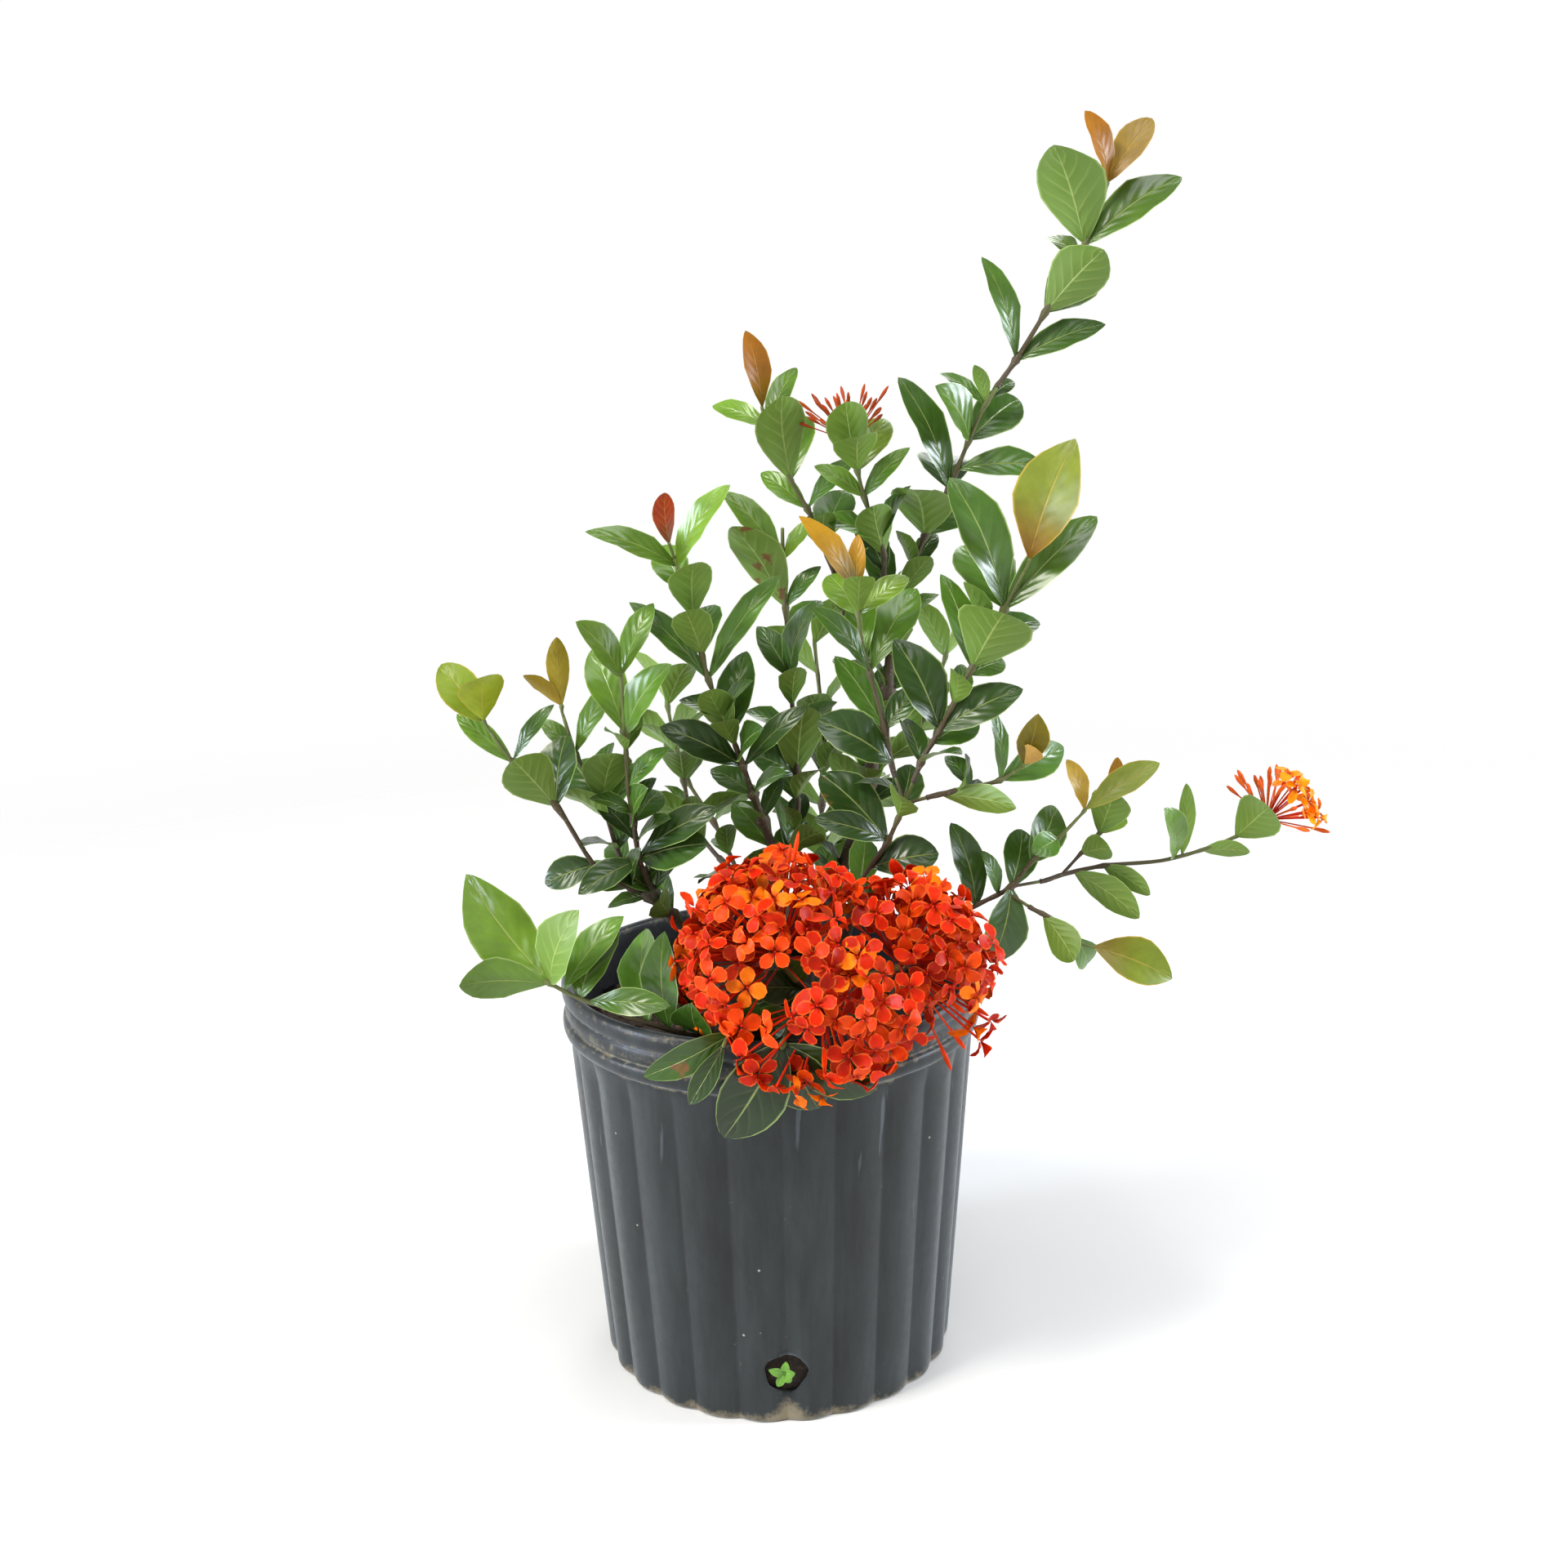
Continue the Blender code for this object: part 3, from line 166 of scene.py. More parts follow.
def makeRoom(room):
    # strength = 1 to overhead, a smooth step in the height of the way looked along
    world = bpy.data.worlds.new("studio")
    world.use_nodes = True
    tree = world.node_tree
    way = addNode(tree, "TexCoord").outputs["Generated"]
    high = addNode(tree, "SeparateXYZ", inputs={0: way}).outputs["Z"]
    level = addNode(tree, "MapRange", smooth, {
        "Value": high, "From Min": room["white"], "From Max": room["dim"], "To Min": 1.0,
        "To Max": room["overhead"]})
    setInputs(tree, tree.nodes["Background"], {"Strength": level, "Color": (1.0, 1.0, 1.0, 1.0)})
    bpy.context.scene.world = world


placeCamera(cameraValues)
for lightName in ("key", "top", "left", "right", "back"):
    placeLight(lightName, lightValues[lightName], lightValues["aim"])
bpy.context.scene.view_settings.view_transform = "Standard"
makeRoom(lightValues["room"])
makeFloor(floorValues)

print("stage 2: materials")

# blow-moulded polyethylene that the sun has faded to slate: dull grey-blue skin, dust in its grooves and at
# its foot, white specks of lime and a few scuffs (patterns are in repeats per metre, shares from 0 to 1)
potLooks = {"slate": "#191a1a", "faded": "#2f3536", "shade": "#131312", "dust": "#8c8168", "lime": "#b9b6aa",
            "scuff": "#5a6268", "inside": "#101113", "sheen": "#b0b9c0", "clouds": 30.0, "streaks": 150.0,
            "patches": 150.0, "specks": 92.0, "shadeShare": 0.35, "scuffShare": 0.45, "dustShare": 0.80,
            "limeShare": 0.8, "limeLeast": 0.955, "sheenShare": 0.62, "sheenRoughness": 0.35, "shine": 0.28,
            "glossy": 0.34, "dull": 0.52, "relief": 0.0004}


def polyethyleneMaterial(looks):
    material, tree, shader = newMaterial("faded_polyethylene")
    place = addNode(tree, "TexCoord").outputs["Object"]
    # bands and streaks that run down the wall: the patterns are stretched along the height
    bands = addNode(tree, "Mapping", inputs={"Vector": place, "Scale": (1.0, 1.0, 0.22)})
    cloud = addNode(tree, "TexNoise", inputs={
        "Vector": bands, "Scale": looks["clouds"], "Detail": 6.0, "Roughness": 0.68})
    tall = addNode(tree, "Mapping", inputs={"Vector": place, "Scale": (1.0, 1.0, 0.08)})
    streak = addNode(tree, "TexNoise", inputs={"Vector": tall, "Scale": looks["streaks"], "Detail": 3.0})
    tone = addNode(tree, "MapRange", inputs={"Value": cloud, "From Min": 0.30, "From Max": 0.74})
    run = addNode(tree, "MapRange", inputs={
        "Value": streak, "From Min": 0.48, "From Max": 0.72, "To Max": looks["shadeShare"]})
    # thin pale scuffs down the wall, where the same streaks peak
    scuff = addNode(tree, "MapRange", inputs={
        "Value": streak, "From Min": 0.70, "From Max": 0.76, "To Max": looks["scuffShare"]})
    # dust: thick at the foot, in the grooves under the lip (their place is in the piece's dusty attribute)
    dusty = addNode(tree, "Attribute", {"attribute_name": "dusty"}).outputs["Fac"]
    patch = addNode(tree, "TexNoise", inputs={
        "Vector": place, "Scale": looks["patches"], "Detail": 6.0, "Roughness": 0.7})
    dustHere = addNode(tree, "Math", multiplyAdd, {0: patch, 1: 1.3, 2: dusty})
    film = addNode(tree, "MapRange", inputs={
        "Value": dustHere, "From Min": 0.92, "From Max": 1.34, "To Max": looks["dustShare"]})
    # lime specks about 1 mm across, only a few of the cells
    cells = addNode(tree, "TexVoronoi", inputs={"Vector": place, "Scale": looks["specks"]})
    pick = addNode(tree, "SeparateColor", inputs={0: cells.outputs["Color"]})
    few = addNode(tree, "Math", {"operation": "GREATER_THAN"}, {0: pick, 1: looks["limeLeast"]})
    near = addNode(tree, "MapRange", inputs={
        "Value": cells.outputs["Distance"], "From Min": 0.03, "From Max": 0.10,
        "To Min": looks["limeShare"], "To Max": 0.0})
    speck = addNode(tree, "Math", multiply, {0: few, 1: near})
    # the inner wall never saw the sun: nearly black
    inside = addNode(tree, "Attribute", {"attribute_name": "inside"}).outputs["Fac"]
    layers = [(tone, "faded"), (run, "shade"), (scuff, "scuff"), (film, "dust"), (speck, "lime"),
              (inside, "inside")]
    skin = layered(tree, rgba(looks["slate"]), looks, layers)
    rough = addNode(tree, "MapRange", inputs={
        "Value": patch, "From Min": 0.3, "From Max": 0.7, "To Min": looks["glossy"], "To Max": looks["dull"]})
    bump = addNode(tree, "Bump", inputs={"Strength": 0.25, "Distance": looks["relief"], "Height": patch})
    # the sheen is the chalky film on the plastic, which glows where the wall turns away
    setInputs(tree, shader, {
        "Base Color": skin, "Roughness": rough, "Specular IOR Level": looks["shine"], "Normal": bump,
        "Sheen Weight": looks["sheenShare"], "Sheen Roughness": looks["sheenRoughness"],
        "Sheen Tint": rgba(looks["sheen"])})
    return material


# potting mix: dark damp peat and fine bark, with paler fibres
soilLooks = {"peat": "#17120e", "crumb": "#33261b", "fibre": "#5b4731", "grain": 420.0, "lump": 110.0,
             "relief": 0.002}


def pottingMixMaterial(looks):
    material, tree, shader = newMaterial("potting_mix")
    place = addNode(tree, "TexCoord").outputs["Object"]
    grain = addNode(tree, "TexNoise", inputs={
        "Vector": place, "Scale": looks["grain"], "Detail": 6.0, "Roughness": 0.75})
    lump = addNode(tree, "TexVoronoi", inputs={"Vector": place, "Scale": looks["lump"]})
    ramp = addNode(tree, "ValToRGB", inputs={0: grain})
    stops = ramp.color_ramp.elements
    stops[0].position, stops[0].color = 0.38, rgba(looks["peat"])
    stops[1].position, stops[1].color = 0.72, rgba(looks["fibre"])
    stops.new(0.56).color = rgba(looks["crumb"])
    height = addNode(tree, "Math", multiplyAdd, {0: grain, 1: 0.6, 2: lump})
    bump = addNode(tree, "Bump", inputs={"Strength": 0.9, "Distance": looks["relief"], "Height": height})
    setInputs(tree, shader, {"Base Color": ramp, "Roughness": 0.92, "Normal": bump})
    return material


# pine bark chips: matt, from reddish to dark brown chip by chip, with a fine broken grain
chipLooks = {"tones": ("#4a3020", "#5d4029", "#3a281c", "#6e5238"), "grain": 600.0, "relief": 0.0006}


def pottingBarkMaterial(looks):
    material, tree, shader = newMaterial("potting_bark")
    place = addNode(tree, "TexCoord").outputs["Object"]
    tint = addNode(tree, "Attribute", {"attribute_name": "tint"}).outputs["Color"]
    grain = addNode(tree, "TexNoise", inputs={"Vector": place, "Scale": looks["grain"], "Detail": 4.0})
    shade = addNode(tree, "MapRange", inputs={
        "Value": grain, "From Min": 0.3, "From Max": 0.7, "To Min": 0.45, "To Max": 1.25})
    lit = addNode(tree, "VectorMath", {"operation": "SCALE"}, {0: tint, "Scale": shade})
    bump = addNode(tree, "Bump", inputs={"Strength": 0.6, "Distance": looks["relief"], "Height": grain})
    setInputs(tree, shader, {"Base Color": lit, "Roughness": 0.85, "Normal": bump})
    return material


# the stems' bark: the tint attribute holds its age, green on soft growth and grey-brown on old canes, with
# long cracks and small pale lenticels. The surface map is round the stem and along it in metres: cracks are
# 1 mm wide and 12 mm long
barkLooks = {"cracks": (9.0, 90.0, 1.0), "lenticels": 330.0, "lenticel": "#a39a84", "relief": 0.0005}


def barkMaterial(looks):
    material, tree, shader = newMaterial("ixora_bark")
    surface = addNode(tree, "UVMap", {"uv_map": "surface"})
    place = addNode(tree, "TexCoord").outputs["Object"]
    tint = addNode(tree, "Attribute", {"attribute_name": "tint"})
    drawn = addNode(tree, "Mapping", inputs={"Vector": surface, "Scale": looks["cracks"]})
    crack = addNode(tree, "TexNoise", inputs={
        "Vector": drawn, "Scale": 1.0, "Detail": 5.0, "Roughness": 0.7})
    spot = addNode(tree, "TexVoronoi", inputs={"Vector": place, "Scale": looks["lenticels"]})
    pale = addNode(tree, "MapRange", inputs={
        "Value": spot, "From Min": 0.10, "From Max": 0.24, "To Min": 0.5, "To Max": 0.0})
    old = addNode(tree, "Math", multiply, {0: pale, 1: tint.outputs["Alpha"]})
    shade = addNode(tree, "MapRange", inputs={
        "Value": crack, "From Min": 0.32, "From Max": 0.68, "To Min": 0.55, "To Max": 1.25})
    skin = addNode(tree, "VectorMath", {"operation": "SCALE"}, {0: tint.outputs["Color"], "Scale": shade})
    skin = layered(tree, skin, looks, [(old, "lenticel")])
    bump = addNode(tree, "Bump", inputs={"Strength": 0.5, "Distance": looks["relief"], "Height": crack})
    setInputs(tree, shader, {"Base Color": skin, "Roughness": 0.7, "Normal": bump})
    return material


# ixora leaf: a waxy cuticle above, quilted between the veins, and a paler dull skin below with the midrib
# raised. The surface map is along the blade (0 to 1) and across it (0 to 1); under is 1 on the lower skin.
# uneven, mottle and swells are repeats per metre; quilt is the height of the swells in metres
# the pale edge colour is a painted highlight: light catching and shining through the thin edge
leafLooks = {"vein": "#a9ba66", "veinsEachSide": 6.0, "slant": 0.63, "midrib": 0.042, "midribTip": 0.35,
             "underside": "#6f8d36", "underShare": 0.66, "glossAbove": 0.31, "glossBelow": 0.50,
             "mottle": 60.0, "dry": "#6b4a22", "quilt": 0.0018, "veinRelief": 0.12, "swells": 62.0,
             "veinAbove": 0.04, "veinBelow": 0.21, "ior": 1.49, "ribShare": 0.58, "uneven": 26.0,
             "bend": 0.11, "leafEdgeHighlight": "#a9c070", "leafEdgeHighlightShare": 0.55}


def leafMaterial(name, looks):
    material, tree, shader = newMaterial(name)
    surface = addNode(tree, "UVMap", {"uv_map": "surface"})
    place = addNode(tree, "TexCoord").outputs["Object"]
    axes = addNode(tree, "SeparateXYZ", inputs={0: surface})
    along, across = axes.outputs["X"], axes.outputs["Y"]
    tint = addNode(tree, "Attribute", {"attribute_name": "tint"})
    under = addNode(tree, "Attribute", {"attribute_name": "under"}).outputs["Fac"]
    # distance from the midrib: |across - .5|
    off = addNode(tree, "Math", {"operation": "SUBTRACT"}, {0: across, 1: 0.5})
    off = addNode(tree, "Math", {"operation": "ABSOLUTE"}, {0: off})
    # midrib: 1 on it, 0 beyond a width that shrinks towards the tip
    width = addNode(tree, "MapRange", inputs={
        "Value": along, "To Min": looks["midrib"], "To Max": looks["midrib"] * looks["midribTip"]})
    rib = addNode(tree, "MapRange", smooth, {
        "Value": off, "From Min": 0.0, "From Max": width, "To Min": 1.0, "To Max": 0.0})
    # side veins: the peaks of the cosine of (along - slant * off + bend * noise)
    bend = addNode(tree, "TexNoise", inputs={"Vector": place, "Scale": looks["uneven"], "Detail": 2.0})
    lean = addNode(tree, "Math", multiplyAdd, {0: off, 1: -looks["slant"], 2: along})
    lean = addNode(tree, "Math", multiplyAdd, {0: bend, 1: looks["bend"], 2: lean})
    phase = addNode(tree, "Math", multiply, {0: lean, 1: looks["veinsEachSide"] * 2 * math.pi})
    wave = addNode(tree, "Math", {"operation": "COSINE"}, {0: phase})
    line = addNode(tree, "MapRange", smooth, {"Value": wave, "From Min": 0.72, "From Max": 1.0})
    # a side vein fades out towards the edge
    fading = addNode(tree, "MapRange", inputs={
        "Value": off, "From Min": 0.10, "From Max": 0.46, "To Min": 1.0, "To Max": 0.15})
    line = addNode(tree, "Math", multiply, {0: line, 1: fading})
    # the leaf's own tint, mottled
    mottle = addNode(tree, "TexNoise", inputs={
        "Vector": place, "Scale": looks["mottle"], "Detail": 4.0, "Roughness": 0.6})
    shade = addNode(tree, "MapRange", inputs={
        "Value": mottle, "From Min": 0.3, "From Max": 0.7, "To Min": 0.82, "To Max": 1.20})
    skin = addNode(tree, "VectorMath", {"operation": "SCALE"}, {0: tint.outputs["Color"], "Scale": shade})
    # how much shows of the paler underside, the side veins, the midrib, the thin pale line along the edge (a
    # painted highlight) and the dry brown spots, which are only on leaves whose tint has a low alpha
    below = addNode(tree, "Math", multiply, {0: under, 1: looks["underShare"]})
    clear = addNode(tree, "MapRange", inputs={
        "Value": under, "To Min": looks["veinAbove"], "To Max": looks["veinBelow"]})
    faint = addNode(tree, "Math", multiply, {0: line, 1: clear})
    strong = addNode(tree, "Math", multiply, {0: rib, 1: looks["ribShare"]})
    # painted highlight: a pale line along the leaf's edge
    leafEdgeHighlightMask = addNode(tree, "MapRange", inputs={
        "Value": off, "From Min": 0.462, "From Max": 0.492, "To Max": looks["leafEdgeHighlightShare"]})
    dry = addNode(tree, "Math", {"operation": "SUBTRACT"}, {0: mottle, 1: tint.outputs["Alpha"]})
    dry = addNode(tree, "MapRange", inputs={"Value": dry, "From Min": 0.0, "From Max": 0.04})
    layers = [(below, "underside"), (faint, "vein"), (strong, "vein"), (leafEdgeHighlightMask, "leafEdgeHighlight"), (dry, "dry")]
    skin = layered(tree, skin, looks, layers)
    rough = addNode(tree, "MapRange", inputs={
        "Value": under, "To Min": looks["glossAbove"], "To Max": looks["glossBelow"]})
    # quilting: sunk along the veins above, raised along them below
    rise = addNode(tree, "MapRange", inputs={"Value": under, "To Min": -1.0, "To Max": 0.8})
    soft = addNode(tree, "Math", multiply, {0: wave, 1: fading})
    soft = addNode(tree, "Math", multiply, {0: soft, 1: looks["veinRelief"]})
    height = addNode(tree, "Math", multiplyAdd, {0: rib, 1: 0.5, 2: soft})
    swell = addNode(tree, "TexNoise", inputs={"Vector": place, "Scale": looks["swells"], "Detail": 0.6})
    height = addNode(tree, "Math", multiplyAdd, {0: height, 1: rise, 2: swell})
    bump = addNode(tree, "Bump", inputs={"Strength": 0.6, "Distance": looks["quilt"], "Height": height})
    setInputs(tree, shader, {"Base Color": skin, "Roughness": rough, "IOR": looks["ior"], "Normal": bump})
    return material


# ixora petals: soft matt flesh, painted shade deep red-orange in the throat, a painted highlight on the edges
petalLooks = {"throat": "#a81402", "edge": "#ff7d2a", "throatPaintedShadeShare": 0.8, "petalEdgeHighlightShare": 0.42, "grain": 240.0,
              "roughness": 0.42, "shine": 0.10, "relief": 0.0003}


def petalMaterial(looks):
    material, tree, shader = newMaterial("ixora_petal")
    surface = addNode(tree, "UVMap", {"uv_map": "surface"})
    place = addNode(tree, "TexCoord").outputs["Object"]
    axes = addNode(tree, "SeparateXYZ", inputs={0: surface})
    tint = addNode(tree, "Attribute", {"attribute_name": "tint"})
    off = addNode(tree, "Math", {"operation": "SUBTRACT"}, {0: axes.outputs["Y"], 1: 0.5})
    off = addNode(tree, "Math", {"operation": "ABSOLUTE"}, {0: off})
    # the painted highlight along the edge: far across, or far along the petal
    rim = addNode(tree, "MapRange", smooth, {"Value": off, "From Min": 0.34, "From Max": 0.5})
    end = addNode(tree, "MapRange", smooth, {"Value": axes.outputs["X"], "From Min": 0.86, "From Max": 1.0})
    edge = addNode(tree, "Math", {"operation": "MAXIMUM"}, {0: rim, 1: end})
    edge = addNode(tree, "Math", multiply, {0: edge, 1: looks["petalEdgeHighlightShare"]})
    # painted shade: darker towards the throat, in the floret's cupped middle
    throat = addNode(tree, "MapRange", smooth, {
        "Value": axes.outputs["X"], "From Min": 0.0, "From Max": 0.42, "To Min": looks["throatPaintedShadeShare"],
        "To Max": 0.0})
    grain = addNode(tree, "TexNoise", inputs={"Vector": place, "Scale": looks["grain"], "Detail": 3.0})
    shade = addNode(tree, "MapRange", inputs={
        "Value": grain, "From Min": 0.3, "From Max": 0.7, "To Min": 0.84, "To Max": 1.14})
    skin = addNode(tree, "VectorMath", {"operation": "SCALE"}, {0: tint.outputs["Color"], "Scale": shade})
    skin = layered(tree, skin, looks, [(throat, "throat"), (edge, "edge")])
    bump = addNode(tree, "Bump", inputs={"Strength": 0.3, "Distance": looks["relief"], "Height": grain})
    setInputs(tree, shader, {"Base Color": skin, "Roughness": looks["roughness"],
                             "Specular IOR Level": looks["shine"], "Normal": bump})
    return material


potMaterial = polyethyleneMaterial(potLooks)
soilMaterial = pottingMixMaterial(soilLooks)
chipMaterial = pottingBarkMaterial(chipLooks)
stemMaterial = barkMaterial(barkLooks)
leafSkin = leafMaterial("ixora_leaf", leafLooks)
# new growth is as coloured below as above
newLeafLooks = {**leafLooks, "vein": "#b89a48", "underside": "#96802c", "underShare": 0.06,
                "glossAbove": 0.38, "leafEdgeHighlight": "#c8a040", "ribShare": 0.4, "ior": 1.33, "quilt": 0.0008}
weedLooks = {**leafLooks, "vein": "#a4c466", "underside": "#7fa842", "veinsEachSide": 4.0, "quilt": 0.0002,
             "mottle": 400.0, "swells": 400.0}
newLeafSkin = leafMaterial("ixora_new_leaf", newLeafLooks)
weedSkin = leafMaterial("weed_leaf", weedLooks)
petalSkin = petalMaterial(petalLooks)

# the plant, in mm as (right, back, up) from the middle of the pot's resting face, as the solids have it

# bare woody canes, with their side forks
canes = {
    "left_cane": {
        "stems": [[(-35, -5, 208), (-35, -5, 242), (-60, -10, 300), (-80, -15, 322), (-92, -9, 338)],
                  [(-80, -15, 322), (-101, -25, 334)],
                  [(-71, -13, 312), (-80, -18, 338)]],
        "radius": (4.0, 2.6)},
    "middle_cane": {
        "stems": [[(-8, 25, 208), (-8, 25, 240), (0, 12, 300), (4, 5, 338), (-4, -4, 368), (-9, -9, 385)],
                  [(3, 7, 325), (16, 11, 343)],
                  [(0, 12, 300), (-33, 46, 325)]],
        "radius": (3.8, 2.4)},
    "tall_cane": {
        "stems": [[(25, 35, 208), (25, 35, 240), (60, 33, 350), (80, 31, 440), (86, 30, 492), (92, 32, 508)],
                  [(86, 30, 492), (79, 22, 508)],
                  [(77, 31, 425), (62, 27, 462)],
                  [(44, 34, 300), (37, 68, 324)],
                  [(60, 33, 350), (72, 68, 368)]],
        "radius": (4.6, 2.8)},
    "right_cane": {
        "stems": [[(35, -20, 208), (35, -20, 240), (48, -34, 295), (58, -39, 330)]],
        "radius": (4.0, 3.4)},
    "far_right_cane": {
        "stems": [[(70, -10, 208), (70, -10, 238), (98, -24, 284), (126, -30, 308)]],
        "radius": (3.6, 2.8)},
    "front_left_cane": {
        "stems": [[(-25, -62, 208), (-25, -62, 237), (-30, -80, 247)]],
        "radius": (3.0, 2.6)},
    "front_cane": {
        "stems": [[(2, -72, 208), (2, -72, 238), (-9, -97, 257)], [(2, -72, 238), (14, -97, 257)]],
        "radius": (2.8, 2.2)},
    "flower_cane": {
        "stems": [[(28, -46, 208), (28, -46, 240), (30, -50, 258), (16, -68, 278)],
                  [(30, -50, 258), (52, -66, 276)],
                  [(30, -50, 258), (29, -74, 272)]],
        "radius": (3.6, 2.2)},
    "back_cane": {
        "stems": [[(-5, 72, 208), (-5, 72, 240), (-22, 92, 300)],
                  [(-5, 72, 240), (22, 96, 290)]],
        "radius": (3.4, 2.4)},
}

